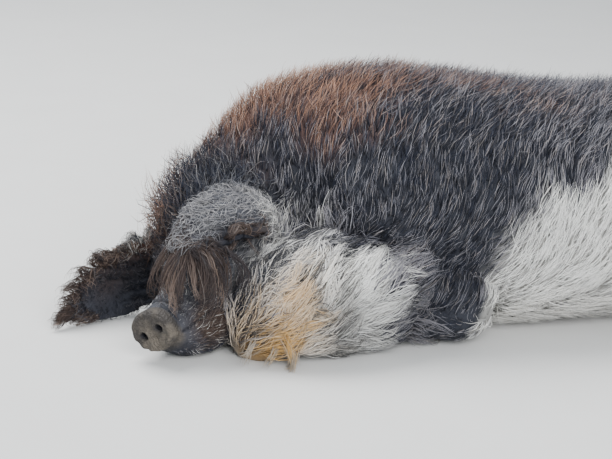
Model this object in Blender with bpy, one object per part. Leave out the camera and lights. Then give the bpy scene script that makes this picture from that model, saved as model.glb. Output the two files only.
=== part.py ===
"""A swallow-bellied mangalica pig, life size, lying on its belly with its chin on the floor.

Blender 4.5, metres, +Z up. The trunk runs along X with the head towards -X, and the pig's left
side faces -Y. The head is turned to the left and rolled, so that the left cheek looks up and both
ears have fallen: the left one across the forehead, the right one out onto the floor.

The body is a row of rings along a bent centre line. The same rings, cut at the seams, give the
rump, belly, chest, neck and head, so that neighbours meet face to face across one thin gap.
"""

import math
import random
from collections import namedtuple

import bmesh
import bpy
from mathutils import Matrix, Vector

# Driving sizes of the animal, in metres.
SEAM = 0.0004            # gap between two nodes that touch
CLEAR = 0.0003           # gap kept where a coat is cut back round a neighbour
RING_SIDES = 24          # corners of a body ring
LIMB_SIDES = 10          # corners of a leg ring
EAR_SIDES = 6            # cells across an ear
EAR_THICK = 0.0055       # thickness of an ear

# The head: its place, its turn, and where the mouth line runs.
SNOUT = Vector((-0.641, -0.196, 0.055))
HEAD_YAW = 42.5          # turned to the pig's left, degrees
HEAD_PITCH = 11.5        # snout lower than the poll
HEAD_ROLL = 38.0         # left cheek up
DISC_DEPTH = 0.016       # snout disc, front to back
MOUTH_CORNER = 0.165     # how far back the mouth line runs
LIP_NOTCH = 0.005        # how deep the mouth line is pressed in
SNOUT_FOLD = 0.003       # height of the fold over the snout behind the disc
EYE_RADIUS = 0.0125
EYE = (0.200, 0.0730, 0.0380)       # of the eyeball, behind, aside of and above the snout disc
LIDS = (0.200, 0.0695, 0.0365)      # of the egg that the lids form round it
LIDS_SIZE = (0.024, 0.014, 0.018)
DISC_SIZE = (0.042, 0.036, 0.037)   # snout disc to the sides, up and down
NOSTRIL = (0.0185, 0.001)           # aside of and above the disc's centre
NOSTRIL_SIZE = (0.0075, 0.0085)     # half its breadth and height

# The coat: how much of it is solid under the locks, and the locks.
CORE_SHARE = 0.45        # height of the solid under-coat against the tips
LOCK_SPACING = 0.107     # between the roots of two trunk locks
LOCK_LENGTH = 0.112
LOCK_WIDTH = 0.070
LOCK_THICK = 0.012
LOCK_CLEAR = 0.0015      # a lock keeps this far from a seam and from the floor
SEED = 12

# The tables below count from the middle of the trunk. This step brings the middle of the whole
# animal, with its ear and tail, over the origin.
TO_MIDDLE = Vector((0.040, 0, 0))

# A body ring: place on the centre line, its turn, reach left and right, up and down, squareness.
Ring = namedtuple("Ring", "x y z yaw pitch roll half up down square")
TRUNK = (
    Ring(0.612, 0.000, 0.200, 0, 0, 4, 0.030, 0.035, 0.060, 2.0),
    Ring(0.596, 0.000, 0.200, 0, 0, 4, 0.095, 0.080, 0.130, 2.1),
    Ring(0.560, 0.000, 0.190, 0, 0, 5, 0.160, 0.130, 0.180, 2.2),
    Ring(0.490, 0.000, 0.180, 0, 0, 6, 0.210, 0.165, 0.195, 2.4),
    Ring(0.390, 0.000, 0.175, 0, 0, 6, 0.238, 0.178, 0.195, 2.5),
    Ring(0.260, 0.000, 0.170, 0, 0, 6, 0.252, 0.180, 0.190, 2.5),
    Ring(0.110, 0.000, 0.170, 0, 0, 7, 0.260, 0.194, 0.190, 2.4),
    Ring(-0.040, 0.000, 0.175, 0, 0, 8, 0.252, 0.212, 0.195, 2.3),
    Ring(-0.170, 0.000, 0.185, 0, 0, 9, 0.232, 0.218, 0.200, 2.2),
    Ring(-0.270, 0.002, 0.195, 4, 0, 11, 0.208, 0.202, 0.190, 2.1),
    Ring(-0.345, 0.006, 0.180, 14, 3, 18, 0.184, 0.192, 0.150, 2.1),
)

# A head ring: distance behind the snout disc, height of the mouth plane over the disc's centre,
# reach to the sides, up and down, squareness.
HeadRing = namedtuple("HeadRing", "back rise half up down square")
HEAD = (
    HeadRing(0.016, -0.024, 0.034, 0.055, 0.010, 2.2),
    HeadRing(0.040, -0.028, 0.038, 0.061, 0.040, 2.2),
    HeadRing(0.075, -0.030, 0.047, 0.069, 0.056, 2.2),
    HeadRing(0.115, -0.032, 0.057, 0.081, 0.062, 2.2),
    HeadRing(0.155, -0.034, 0.069, 0.099, 0.067, 2.2),
    HeadRing(0.195, -0.034, 0.086, 0.124, 0.074, 2.1),
    HeadRing(0.235, -0.030, 0.104, 0.146, 0.084, 2.1),
    HeadRing(0.270, -0.020, 0.118, 0.158, 0.095, 2.1),
    HeadRing(0.300, -0.012, 0.128, 0.162, 0.105, 2.1),
)
HEAD_STEPS = (0.016, 0.021, 0.027, 0.034, 0.043, 0.056, 0.072, 0.090, 0.110, 0.130, 0.150, 0.170,
              0.190, 0.210, 0.230, 0.252, 0.275, 0.300)

# The ruff hangs from cheek and throat to the floor beside the near foreleg.
RUFF = (
    Ring(-0.190, -0.180, 0.085, 0, 0, 0, 0.030, 0.050, 0.060, 2.0),
    Ring(-0.220, -0.180, 0.085, 0, 0, 0, 0.062, 0.080, 0.090, 2.2),
    Ring(-0.285, -0.178, 0.090, 2, 0, 0, 0.080, 0.092, 0.100, 2.4),
    Ring(-0.360, -0.178, 0.088, 4, 0, 0, 0.083, 0.092, 0.100, 2.4),
    Ring(-0.430, -0.182, 0.076, 6, 0, 0, 0.076, 0.080, 0.095, 2.3),
    Ring(-0.475, -0.190, 0.060, 10, 0, 0, 0.056, 0.055, 0.075, 2.1),
    Ring(-0.498, -0.198, 0.050, 14, 0, 0, 0.026, 0.026, 0.045, 2.0),
)

# Legs: joints of the left side as x, y, z and radius. The right side stands off as the shift says.
Joint = namedtuple("Joint", "x y z r")
FORELEG = (
    Joint(-0.200, -0.140, 0.165, 0.084),
    Joint(-0.110, -0.195, 0.068, 0.070),
    Joint(-0.250, -0.160, 0.038, 0.038),
    Joint(-0.335, -0.150, 0.028, 0.028),
)
HINDLEG = (
    Joint(0.430, -0.142, 0.150, 0.130),
    Joint(0.290, -0.215, 0.095, 0.090),
    Joint(0.485, -0.258, 0.046, 0.046),
    Joint(0.360, -0.285, 0.029, 0.029),
)
LEGS = {
    "foreleg_left": (FORELEG, 1, 0.000),
    "foreleg_right": (FORELEG, -1, -0.012),
    "hindleg_left": (HINDLEG, 1, 0.000),
    "hindleg_right": (HINDLEG, -1, 0.020),
}
TAIL = (
    Joint(0.600, 0.000, 0.262, 0.020),
    Joint(0.630, 0.008, 0.225, 0.016),
    Joint(0.645, 0.022, 0.160, 0.012),
    Joint(0.655, 0.035, 0.090, 0.010),
    Joint(0.668, 0.048, 0.035, 0.012),
)

# A main claw from heel to tip: place ahead of the fetlock, half width and height.
CLAW = ((0.000, 0.0110, 0.034), (-0.022, 0.0118, 0.032), (-0.044, 0.0105, 0.021), (-0.060, 0.0045, 0.009))

# Ears: centre of each station, the way the blade runs across, half width, how far the rims curl.
Blade = namedtuple("Blade", "x y z ax ay az half curl")
LEFT_EAR = (
    Blade(0.288, 0.100, 0.020, 0.45, -0.50, 0.74, 0.036, 0.018),
    Blade(0.258, 0.130, 0.052, 0.50, -0.42, 0.74, 0.050, 0.018),
    Blade(0.208, 0.122, 0.078, 0.56, -0.36, 0.74, 0.060, 0.016),
    Blade(0.150, 0.096, 0.088, 0.60, -0.36, 0.72, 0.054, 0.012),
    Blade(0.092, 0.066, 0.082, 0.60, -0.36, 0.72, 0.016, 0.003),
)
RIGHT_EAR = (
    Blade(-0.515, 0.040, 0.110, 0.10, -0.25, -0.96, 0.038, 0.018),
    Blade(-0.570, 0.050, 0.080, 0.10, -0.25, -0.96, 0.050, 0.018),
    Blade(-0.628, 0.038, 0.057, 0.10, -0.25, -0.96, 0.056, 0.012),
    Blade(-0.684, 0.014, 0.040, 0.10, -0.25, -0.96, 0.042, 0.008),
    Blade(-0.724, -0.006, 0.019, 0.10, -0.25, -0.96, 0.013, 0.002),
)

RUFF_CORE = 0.000        # solid hair over the rings of the ruff
RUFF_TIPS = 0.020        # where its locks end

# Where the trunk is cut, counted in trunk rings, and the rings of each piece.
SEAMS = {"rump": (0.0, 4.55, 10), "belly": (4.55, 6.9, 6), "chest": (6.9, 9.0, 6), "neck": (9.0, 11.0, 7)}

BLACK = (0.030, 0.028, 0.032, 1)
CREAM = (0.62, 0.58, 0.50, 1)
SLATE = (0.16, 0.16, 0.18, 1)
SNOUT_GREY = (0.30, 0.27, 0.24, 1)
HORN = (0.10, 0.085, 0.07, 1)
EYE_BROWN = (0.02, 0.014, 0.01, 1)


def turned(yaw, pitch, roll):
    """Forward, left and up of a ring as the columns of a matrix. With no turn it looks along -X."""
    looks_back = Matrix(((-1, 0, 0), (0, -1, 0), (0, 0, 1)))
    turn = Matrix.Rotation(math.radians(yaw), 3, "Z") @ looks_back
    turn = turn @ Matrix.Rotation(math.radians(pitch), 3, "Y")
    return turn @ Matrix.Rotation(math.radians(roll), 3, "X")


HEAD_TURN = turned(HEAD_YAW, HEAD_PITCH, HEAD_ROLL)


def in_head(back, left, up):
    """A point behind, left of and above the snout disc's centre, in the world."""
    return SNOUT + HEAD_TURN @ Vector((-back, left, up))


def along(table, place):
    """The row at a place counted in rows, on a smooth curve through all of them."""
    last = len(table) - 1
    first = max(0, min(int(place), last - 1))
    t = place - first
    rows = [table[max(0, min(last, first + step))] for step in (-1, 0, 1, 2)]
    values = []
    for a, b, c, d in zip(*rows):
        values.append(b + 0.5 * t * (c - a + t * (2 * a - 5 * b + 4 * c - d + t * (3 * (b - c) + d - a))))
    return type(table[0])(*values)


def smooth(low, high, value):
    """0 below low, 1 above high, eased between."""
    t = max(0.0, min(1.0, (value - low) / (high - low)))
    return t * t * (3 - 2 * t)


def head_row(back):
    """The head ring at a distance behind the snout disc."""
    first = max(n for n, row in enumerate(HEAD[:-1]) if row.back <= back)
    share = (back - HEAD[first].back) / (HEAD[first + 1].back - HEAD[first].back)
    return along(HEAD, first + share)


def head_ring(back):
    row = head_row(back)
    swell = math.exp(-(((back - 0.043) / 0.010) ** 2)) - math.exp(-(((back - 0.029) / 0.007) ** 2))
    up = row.up + SNOUT_FOLD * swell
    return Ring(*in_head(back, 0, row.rise), HEAD_YAW, HEAD_PITCH, HEAD_ROLL, row.half, up, row.down, row.square)


BODY = TRUNK + (head_ring(HEAD[-1].back),)


def outline(ring, angle, reach):
    """A point of the ring's outline in the world, 0 degrees at its left and 90 at its top."""
    c, s = math.cos(angle), math.sin(angle)
    power = 2 / ring.square
    across = math.copysign(abs(c) ** power, c) * (ring.half + reach)
    upward = math.copysign(abs(s) ** power, s) * ((ring.up if s > 0 else ring.down) + reach)
    return Vector((ring.x, ring.y, ring.z)) + turned(ring.yaw, ring.pitch, ring.roll) @ Vector((0, across, upward))


def ring_loop(ring, sides, reach, shift=0.0):
    """The corners of one ring. Reach is a function of the angle."""
    step = turned(ring.yaw, ring.pitch, ring.roll) @ Vector((shift, 0, 0))
    angles = [2 * math.pi * n / sides for n in range(sides)]
    return [outline(ring, angle, reach(angle)) + step for angle in angles]


def skin_over(name, loops):
    """One closed skin over a row of loops of corners, with flat ends."""
    bm = bmesh.new()
    before = None
    for number, loop in enumerate(loops):
        verts = bmesh.ops.create_circle(bm, segments=len(loop), radius=1.0)["verts"]
        for vert, corner in zip(verts, loop):
            vert.co = corner
        edges = list({edge for vert in verts for edge in vert.link_edges})
        if before:
            bmesh.ops.bridge_loops(bm, edges=before + edges)
        if number in (0, len(loops) - 1):
            bmesh.ops.contextual_create(bm, geom=edges)
        before = edges
    return finished(bm, name)


def turn_out(bm):
    """Turns the faces of a closed bmesh to point out."""
    bm.normal_update()
    bmesh.ops.recalc_face_normals(bm, faces=bm.faces)
    if bm.calc_volume(signed=True) < 0:
        bmesh.ops.reverse_faces(bm, faces=bm.faces)


def finished(bm, name):
    """The bmesh as an object with its faces pointing out and in small facets."""
    turn_out(bm)
    bmesh.ops.triangulate(bm, faces=bm.faces)
    mesh = bpy.data.meshes.new(name)
    bm.to_mesh(mesh)
    bm.free()
    made = bpy.data.objects.new(name, mesh)
    bpy.context.scene.collection.objects.link(made)
    return made


def remove(obj):
    bpy.data.objects.remove(obj, do_unlink=True)


def on_floor(obj):
    """Cuts off what lies below the floor and closes the cut with a flat."""
    bm = bmesh.new()
    bm.from_mesh(obj.data)
    if min(vert.co.z for vert in bm.verts) < 0:
        geom = list(bm.verts) + list(bm.edges) + list(bm.faces)
        cut = bmesh.ops.bisect_plane(bm, geom=geom, plane_co=(0, 0, 0), plane_no=(0, 0, -1), clear_outer=True)
        rim = [item for item in cut["geom_cut"] if isinstance(item, bmesh.types.BMEdge)]
        bmesh.ops.holes_fill(bm, edges=rim, sides=0)
        turn_out(bm)
        bmesh.ops.triangulate(bm, faces=bm.faces)
    bm.to_mesh(obj.data)
    bm.free()
    return obj


def grown(obj, distance):
    """A copy of the object with its skin moved out."""
    copy = bpy.data.objects.new("cutter", obj.data.copy())
    bpy.context.scene.collection.objects.link(copy)
    bm = bmesh.new()
    bm.from_mesh(copy.data)
    bm.normal_update()
    moves = [(vert, vert.normal.copy() * vert.calc_shell_factor()) for vert in bm.verts]
    for vert, way in moves:
        vert.co += way * distance
    bm.to_mesh(copy.data)
    bm.free()
    return copy


def join(target, tools, operation):
    """Joins the tools to the target, or cuts them from it, in one step, and removes them."""
    group = bpy.data.collections.new("tools")
    for tool in tools:
        group.objects.link(tool)
    step = target.modifiers.new("shape", "BOOLEAN")
    step.operation = operation
    step.operand_type = "COLLECTION"
    step.collection = group
    step.solver = "MANIFOLD"
    bpy.context.view_layer.objects.active = target
    bpy.context.view_layer.update()
    bpy.ops.object.modifier_apply(modifier=step.name)
    for tool in tools:
        remove(tool)
    bpy.data.collections.remove(group)
    return target


def cut_clear(target, neighbours, gap):
    """Cuts the target back so that it clears its neighbours by the gap."""
    return keep_largest(join(target, [grown(other, gap) for other in neighbours], "DIFFERENCE"))


def keep_largest(obj):
    """Keeps only the largest closed surface of the object."""
    bm = bmesh.new()
    bm.from_mesh(obj.data)
    bmesh.ops.remove_doubles(bm, verts=bm.verts, dist=0.000001)
    left = set(bm.faces)
    shells = []
    while left:
        shell, front = set(), [left.pop()]
        while front:
            face = front.pop()
            shell.add(face)
            for edge in face.edges:
                for other in edge.link_faces:
                    if other in left and len(edge.link_faces) == 2:
                        left.remove(other)
                        front.append(other)
        shells.append(shell)
    shells.sort(key=lambda shell: sum(face.calc_area() for face in shell))
    for shell in shells[:-1]:
        bmesh.ops.delete(bm, geom=list(shell), context="FACES")
    smooth_edges = [edge for edge in bm.edges if edge.is_manifold and edge.calc_length() > 0.0005]
    bmesh.ops.dissolve_limit(bm, angle_limit=math.radians(1.6), verts=bm.verts, edges=smooth_edges)
    turn_out(bm)
    bmesh.ops.triangulate(bm, faces=bm.faces)
    bm.to_mesh(obj.data)
    bm.free()
    return obj


def paint(obj, colour, roughness):
    """Gives the object a material of its own."""
    material = bpy.data.materials.new("mat_" + obj.name)
    material.use_nodes = True
    shader = material.node_tree.nodes["Principled BSDF"]
    shader.inputs["Base Color"].default_value = colour
    shader.inputs["Roughness"].default_value = roughness
    obj.data.materials.clear()
    obj.data.materials.append(material)
    return obj


def coat_reach(angle):
    """How far the coat's tips stand off the trunk: longest along the crest."""
    return 0.026 + 0.010 * smooth(-0.2, 0.9, math.sin(angle))


def trunk_piece(part):
    """A length of the trunk with its dense under-coat."""
    start, end, count = SEAMS[part]
    loops = []
    for number in range(count):
        shift = -SEAM / 2 if number == count - 1 else SEAM / 2 if number == 0 and start > 0 else 0.0
        ring = along(BODY, start + (end - start) * number / (count - 1))
        loops.append(ring_loop(ring, RING_SIDES, lambda angle: CORE_SHARE * coat_reach(angle), shift))
    return on_floor(skin_over(part, loops))


def trunk_lean(angle):
    """The lie of the trunk's hair, in radians from straight back towards the spine."""
    rise = math.degrees(math.asin(math.sin(angle)))
    return math.radians(50 + 35 * smooth(-30, 25, rise) - 60 * smooth(35, 85, rise))


def steps_on(table, place, angle, stand):
    """How the surface over a table runs at a point: the point, a step forward and a step round."""
    here = outline(along(table, place), angle, stand)
    ahead = (outline(along(table, place + 0.02), angle, stand) - here) / 0.02
    aside = (outline(along(table, place), angle + 0.02, stand) - here) / 0.02
    return here, ahead, aside


def lock_on(table, place, angle, lean, length, width, low, high, hold):
    """One flat, tapered lock that rises from the under-coat and bends over with the lie."""
    side = 1 if math.cos(angle) >= 0 else -1
    loops = []
    before = 0.0
    for share, breadth in ((0.0, 0.60), (0.35, 1.00), (0.70, 0.74), (1.0, 0.05)):
        stand = low - 0.008 + (high - low + 0.008) * share ** 0.8
        here, ahead, aside = steps_on(table, place, angle, stand)
        step = (share - before) * length
        place = max(0.0, place - math.cos(lean) * step / max(ahead.length, 0.02))
        angle += side * math.sin(lean) * step / max(aside.length, 0.05)
        before = share
        here, ahead, aside = steps_on(table, place, angle, stand)
        normal = ahead.cross(aside).normalized()
        way = (side * math.sin(lean) * aside.normalized() - math.cos(lean) * ahead.normalized()).normalized()
        across = way.cross(normal).normalized()
        half, deep = breadth * width / 2, LOCK_THICK / 2 * (0.35 + 0.65 * breadth)
        corners = (here + across * half, here + normal * deep, here - across * half, here - normal * deep)
        loops.append([hold(corner) for corner in corners])
        lean += 0.12
    return skin_over("lock", loops)


def held_by(planes, draw):
    """A function that moves a corner back inside a set of planes and off the floor."""
    def hold(corner):
        for spot, inward in planes:
            depth = (corner - spot).dot(inward)
            if depth < LOCK_CLEAR:
                corner = corner + inward * (LOCK_CLEAR * draw.uniform(1.0, 1.5) - depth)
        return Vector((corner.x, corner.y, max(corner.z, LOCK_CLEAR * draw.uniform(1.0, 1.5))))
    return hold


def free_of(lock, others, gap):
    """True if no corner of the lock lies in or next to another node."""
    for vert in lock.data.vertices:
        for other in others:
            found, spot, normal, _ = other.closest_point_on_mesh(vert.co)
            away = vert.co - spot
            if found and (away.length < gap or (away.length < 0.03 and away.dot(normal) < 0)):
                return False
    return True


def trunk_locks(part, others, draw):
    """Staggered rows of locks over one length of the trunk."""
    start, end, _ = SEAMS[part]
    planes = []
    for place, sign in ((start, 1), (end, -1)):
        ring = along(BODY, place)
        if place > 0:
            planes.append((Vector(ring[:3]), turned(ring.yaw, ring.pitch, ring.roll).col[0] * sign))
    first, last = along(BODY, start), along(BODY, end)
    rows = max(2, round((Vector(last[:3]) - Vector(first[:3])).length / LOCK_SPACING + 0.35))
    made = []
    for row in range(rows):
        place = start + (end - start) * (row + 0.80) / rows
        ring = along(BODY, place)
        reach = (ring.half + ring.up) / 2
        columns = max(4, round(math.radians(262) * reach / LOCK_SPACING))
        for column in range(columns):
            share = (column + 0.25 + 0.5 * (row % 2)) / columns
            angle = math.radians(-41 + 262 * share + draw.uniform(-3, 3))
            high = coat_reach(angle) + draw.uniform(-0.002, 0.004)
            root = place + draw.uniform(-0.08, 0.08)
            lean = trunk_lean(angle) + draw.uniform(-0.2, 0.2)
            length, width = LOCK_LENGTH * draw.uniform(0.88, 1.12), LOCK_WIDTH * draw.uniform(0.88, 1.12)
            low = CORE_SHARE * coat_reach(angle)
            lock = lock_on(BODY, root, angle, lean, length, width, low, high, held_by(planes, draw))
            if free_of(lock, others, 0.003):
                made.append(lock)
            else:
                remove(lock)
    return made


def head_core(back, angle):
    """The head's short hair, and the dense part of the cheek hair and of the curls on top."""
    top = math.exp(-(((math.degrees(angle) - 100) / 28) ** 2)) if angle < math.pi else 0.0
    return 0.002 + 0.008 * smooth(0.12, 0.24, back) + 0.014 * top * smooth(0.15, 0.21, back)


def head_form(name, reach):
    loops = []
    for back in HEAD_STEPS:
        notch = LIP_NOTCH * smooth(0, 0.03, MOUTH_CORNER - back)
        ring = head_ring(back)

        def stand(angle, back=back, notch=notch):
            side = abs(math.sin(angle)) < 0.01
            return reach(back, angle) - (notch if side else 0.0)

        shift = SEAM / 2 if back == HEAD_STEPS[-1] else 0.0
        loops.append(ring_loop(ring, RING_SIDES, stand, shift))
    return on_floor(skin_over(name, loops))


def snout_disc():
    """The flat disc at the end of the snout, with its two nostrils."""
    profile = ((-0.003, 0.80), (0.000, 0.94), (0.005, 1.00), (0.011, 0.97), (DISC_DEPTH - SEAM, 0.90))
    loops = []
    for back, share in profile:
        centre = in_head(back, 0, 0.002)
        half, up, down = (size * share for size in DISC_SIZE)
        ring = Ring(*centre, HEAD_YAW, HEAD_PITCH, HEAD_ROLL, half, up, down, 2.3)
        loops.append(ring_loop(ring, 18, lambda angle: 0.0))
    disc = skin_over("snout_disc", loops)
    holes = []
    for side in (-1, 1):
        rows = ((-0.010, 1.3), (-0.001, 1.1), (0.006, 0.8), (0.010, 0.5))
        loops = []
        for back, share in rows:
            centre = in_head(back, side * NOSTRIL[0], NOSTRIL[1])
            half, up = (size * share for size in NOSTRIL_SIZE)
            ring = Ring(*centre, HEAD_YAW, HEAD_PITCH, HEAD_ROLL, half, up, up, 2)
            loops.append(ring_loop(ring, 8, lambda angle: 0.0))
        holes.append(skin_over("hole", loops))
    return keep_largest(join(disc, holes, "DIFFERENCE"))


def head_ball(name, place, side, radii, rings=8, sides=14):
    """A ball or egg on one side of the head, turned with it."""
    back, aside, up = place
    centre = in_head(back, side * aside, up)
    bm = bmesh.new()
    bmesh.ops.create_uvsphere(bm, u_segments=sides, v_segments=rings, radius=1.0)
    for vert in bm.verts:
        vert.co = centre + HEAD_TURN @ Vector(a * b for a, b in zip(vert.co, radii))
    return finished(bm, name)


def tapered(name, start, end, sides=LIMB_SIDES):
    """A round-ended limb between two joints."""
    a, b = Vector(start[:3]), Vector(end[:3])
    way = (b - a).normalized()
    across = way.cross(Vector((0, 0, 1))).normalized()
    other = way.cross(across)
    loops = []
    spans = [(a, start.r, ahead) for ahead in (-0.92, -0.60, 0.0)] + [(b, end.r, ahead) for ahead in (0.0, 0.60, 0.92)]
    for centre, radius, ahead in spans:
        size = radius * math.sqrt(1 - ahead * ahead)
        middle = centre + way * radius * ahead
        angles = [2 * math.pi * n / sides for n in range(sides)]
        loops.append([middle + size * (across * math.cos(t) + other * math.sin(t)) for t in angles])
    return skin_over(name, loops)


def leg(name):
    """A whole leg, from the joint inside the trunk to the fetlock."""
    joints, side, shift = LEGS[name]
    joints = [Joint(j.x + shift, j.y * side, j.z, j.r) for j in joints]
    pieces = [tapered(name, a, b) for a, b in zip(joints, joints[1:])]
    whole = join(pieces[0], pieces[1:], "UNION")
    return on_floor(keep_largest(whole))


def claws(name):
    """Two main claws and two dewclaws of one foot."""
    joints, side, shift = LEGS[name]
    last = joints[-1]
    base = Vector((last.x + shift, last.y * side, 0))
    made = []
    for number, lean in enumerate((-1, 1)):
        label = name.replace("leg", "claw") + ("_inner" if lean * side > 0 else "_outer")
        loops = []
        for ahead, half, height in CLAW:
            centre = base + Vector((ahead, lean * (0.0135 - 0.06 * max(0, -ahead - 0.03)), 0))
            corners = []
            for n in range(8):
                t = 2 * math.pi * n / 8
                corners.append(centre + Vector((0, half * math.cos(t), max(0.0, height * (0.5 + 0.62 * math.sin(t))))))
            loops.append(corners)
        made.append(on_floor(skin_over(label, loops)))
        label = label.replace("claw", "dewclaw")
        loops = []
        for ahead, size in ((0.040, 0.0065), (0.030, 0.0075), (0.018, 0.0030)):
            centre = base + Vector((ahead, lean * 0.028, 0.012))
            corners = []
            for n in range(6):
                t = 2 * math.pi * n / 6
                corners.append(centre + Vector((0, size * 0.9 * math.cos(t), size * math.sin(t))))
            loops.append(corners)
        made.append(skin_over(label, loops))
    return made


def tail():
    loops = []
    count = 13
    for n in range(count):
        spot = along(TAIL, (len(TAIL) - 1) * n / (count - 1))
        ahead = along(TAIL, min(len(TAIL) - 1.001, (len(TAIL) - 1) * n / (count - 1) + 0.05))
        here = Vector(spot[:3])
        way = (Vector(ahead[:3]) - here)
        way = way.normalized() if way.length > 1e-6 else Vector((0.2, 0.2, -1)).normalized()
        across = way.cross(Vector((0, 1, 0))).normalized()
        other = way.cross(across)
        size = spot.r * (0.5 if n == count - 1 else 1.0)
        loops.append([here + size * (across * math.cos(t) + other * math.sin(t)) for t in
                      (2 * math.pi * k / 10 for k in range(10))])
    return on_floor(skin_over("tail", loops))


def ear(name, table, to_world, count=11):
    """A leaf-shaped blade, cupped across, with its root inside the head."""
    rows = [along(table, (len(table) - 1) * n / (count - 1)) for n in range(count)]
    spots = [to_world(Vector(row[:3]), True) for row in rows]
    loops = []
    for number, row in enumerate(rows):
        way = (spots[min(number + 1, count - 1)] - spots[max(number - 1, 0)]).normalized()
        across = to_world(Vector(row[3:6]), False).normalized()
        face = across.cross(way).normalized()
        across = way.cross(face)
        outer, inner = [], []
        for cell in range(EAR_SIDES + 1):
            v = 2 * cell / EAR_SIDES - 1
            middle = spots[number] + across * v * row.half - face * row.curl * v * v
            thick = EAR_THICK / 2 * (0.35 + 0.65 * math.sqrt(max(0.0, 1 - v * v)))
            outer.append(middle + face * thick)
            inner.append(middle - face * thick)
        loops.append(outer + inner[::-1])
    return on_floor(skin_over(name, loops))


def head_frame(point, place):
    if place:
        return in_head(*point)
    return HEAD_TURN @ Vector((-point.x, point.y, point.z))


def world_frame(point, place):
    return point.copy()


def ruff_piece():
    """The flesh of the throat and the dense hair on it."""
    rings = [along(RUFF, (len(RUFF) - 1) * n / 9) for n in range(10)]
    return on_floor(skin_over("ruff", [ring_loop(ring, 16, lambda angle: RUFF_CORE) for ring in rings]))


def ruff_locks(others, draw):
    """Long locks over the outer side of the ruff, from the throat up and back."""
    made = []
    for row, place in enumerate((1.3, 2.2, 3.1, 4.0, 4.9)):
        for column in range(5):
            turn = -52 + 30 * column + 14 * (row % 2) + draw.uniform(-3, 3)
            lean = math.radians(52 - 42 * smooth(0, 60, turn)) + draw.uniform(-0.15, 0.15)
            lock = lock_on(RUFF, place, math.radians(turn), lean, 0.080, 0.042 * draw.uniform(0.9, 1.1), RUFF_CORE,
                           RUFF_TIPS + draw.uniform(-0.002, 0.003), held_by([], draw))
            if free_of(lock, others, 0.002):
                made.append(lock)
            else:
                remove(lock)
    return made


def strand(points, width, thick, facing):
    """A flat, tapered lock through a few points, its broad side turned to the facing vector."""
    loops = []
    count = len(points)
    for number, point in enumerate(points):
        way = (points[min(number + 1, count - 1)] - points[max(number - 1, 0)]).normalized()
        across = way.cross(facing).normalized()
        normal = across.cross(way)
        share = (0.75, 1.0, 0.7, 0.06)[number]
        half, deep = width / 2 * share, thick / 2 * (0.4 + 0.6 * share)
        corners = (point + across * half, point + normal * deep, point - across * half, point - normal * deep)
        loops.append([Vector((c.x, c.y, max(c.z, LOCK_CLEAR))) for c in corners])
    return skin_over("lock", loops)


def fringe(table, to_world, shares, stand, fall, length, width, draw):
    """Locks on one rim of an ear: how far they stand out past it, and the way they fall."""
    made = []
    for share in shares:
        row = along(table, share * (len(table) - 1))
        later = along(table, min(len(table) - 1, share * (len(table) - 1) + 0.1))
        spot = to_world(Vector(row[:3]), True)
        way = (to_world(Vector(later[:3]), True) - spot).normalized()
        across = to_world(Vector(row[3:6]), False).normalized()
        face = across.cross(way).normalized()
        across = way.cross(face)
        rim = spot - across * row.half * 0.80 - face * row.curl * 0.64
        size = length * draw.uniform(0.85, 1.15)
        out = -across * stand * size
        points = [rim, rim + out * 0.6 + fall * 0.15 * size,
                  rim + out + (fall * 0.55 + way * draw.uniform(-0.06, 0.06)) * size,
                  rim + out * 0.8 + (fall * 0.95 + way * draw.uniform(-0.14, 0.14)) * size]
        made.append(strand(points, width, 0.006, face))
    return made


def thigh_locks(name, others, draw):
    """Locks over the outer side of a thigh, down and back."""
    joints, side, shift = LEGS[name]
    hip, stifle = (Vector((j.x + shift, j.y * side, j.z)) for j in joints[:2])
    made = []
    for row, share in enumerate((-0.12, 0.28, 0.66)):
        radius = joints[0].r + (joints[1].r - joints[0].r) * max(0, share)
        centre = hip.lerp(stifle, share)
        for column in range(4):
            turn = math.radians(-12 + 30 * column - 12 * (row % 2) + draw.uniform(-4, 4))
            out = Vector((0, -side * math.cos(turn), math.sin(turn)))
            root = centre + out * (radius - 0.008)
            way = (Vector((0.6, 0, 0.55)) - out * Vector((0.6, 0, 0.55)).dot(out)).normalized()
            points = [root, root + way * 0.030 + out * 0.010, root + way * 0.062 + out * 0.014,
                      root + way * 0.090 + out * 0.016]
            lock = strand(points, 0.050, 0.012, out)
            if free_of(lock, others, 0.001):
                made.append(lock)
            else:
                remove(lock)
    return made


def forelock(draw):
    """Curls between the ears and over the forehead."""
    made = []
    for row, back in enumerate((0.280, 0.230, 0.180)):
        for column in range(4):
            angle = math.radians(74 + 17 * column + 8 * (row % 2) + draw.uniform(-3, 3))
            ring = head_ring(back)
            core = head_core(back, angle)
            root = outline(ring, angle, core - 0.006)
            up = (outline(ring, angle, core + 0.02) - root).normalized()
            ahead = turned(ring.yaw, ring.pitch, ring.roll).col[0]
            size = (0.048, 0.042, 0.030)[row] * draw.uniform(0.9, 1.1)
            bends = ((0.0, 0.0), (0.45, 0.12), (0.78, 0.42), (0.86, 0.85))
            points = [root + (up * high + ahead * far) * size for high, far in bends]
            made.append(strand(points, 0.032, 0.010, ahead))
    return made


def tail_tuft(draw):
    """A small tuft at the end of the tail."""
    made = []
    for number in range(5):
        turn = 2 * math.pi * number / 5
        root = Vector(TAIL[3][:3]) - Vector((0, 0, 0.015 * (number % 2)))
        out = Vector((math.cos(turn), math.sin(turn), 0))
        points = [root, root + out * 0.016 + Vector((0.004, 0.004, -0.022)),
                  root + out * 0.020 + Vector((0.009, 0.009, -0.050)),
                  root + out * 0.010 + Vector((0.014, 0.014, -0.078))]
        made.append(strand(points, 0.018, 0.008, out))
    return made


def clear_scene():
    for obj in list(bpy.data.objects):
        bpy.data.objects.remove(obj, do_unlink=True)


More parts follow.
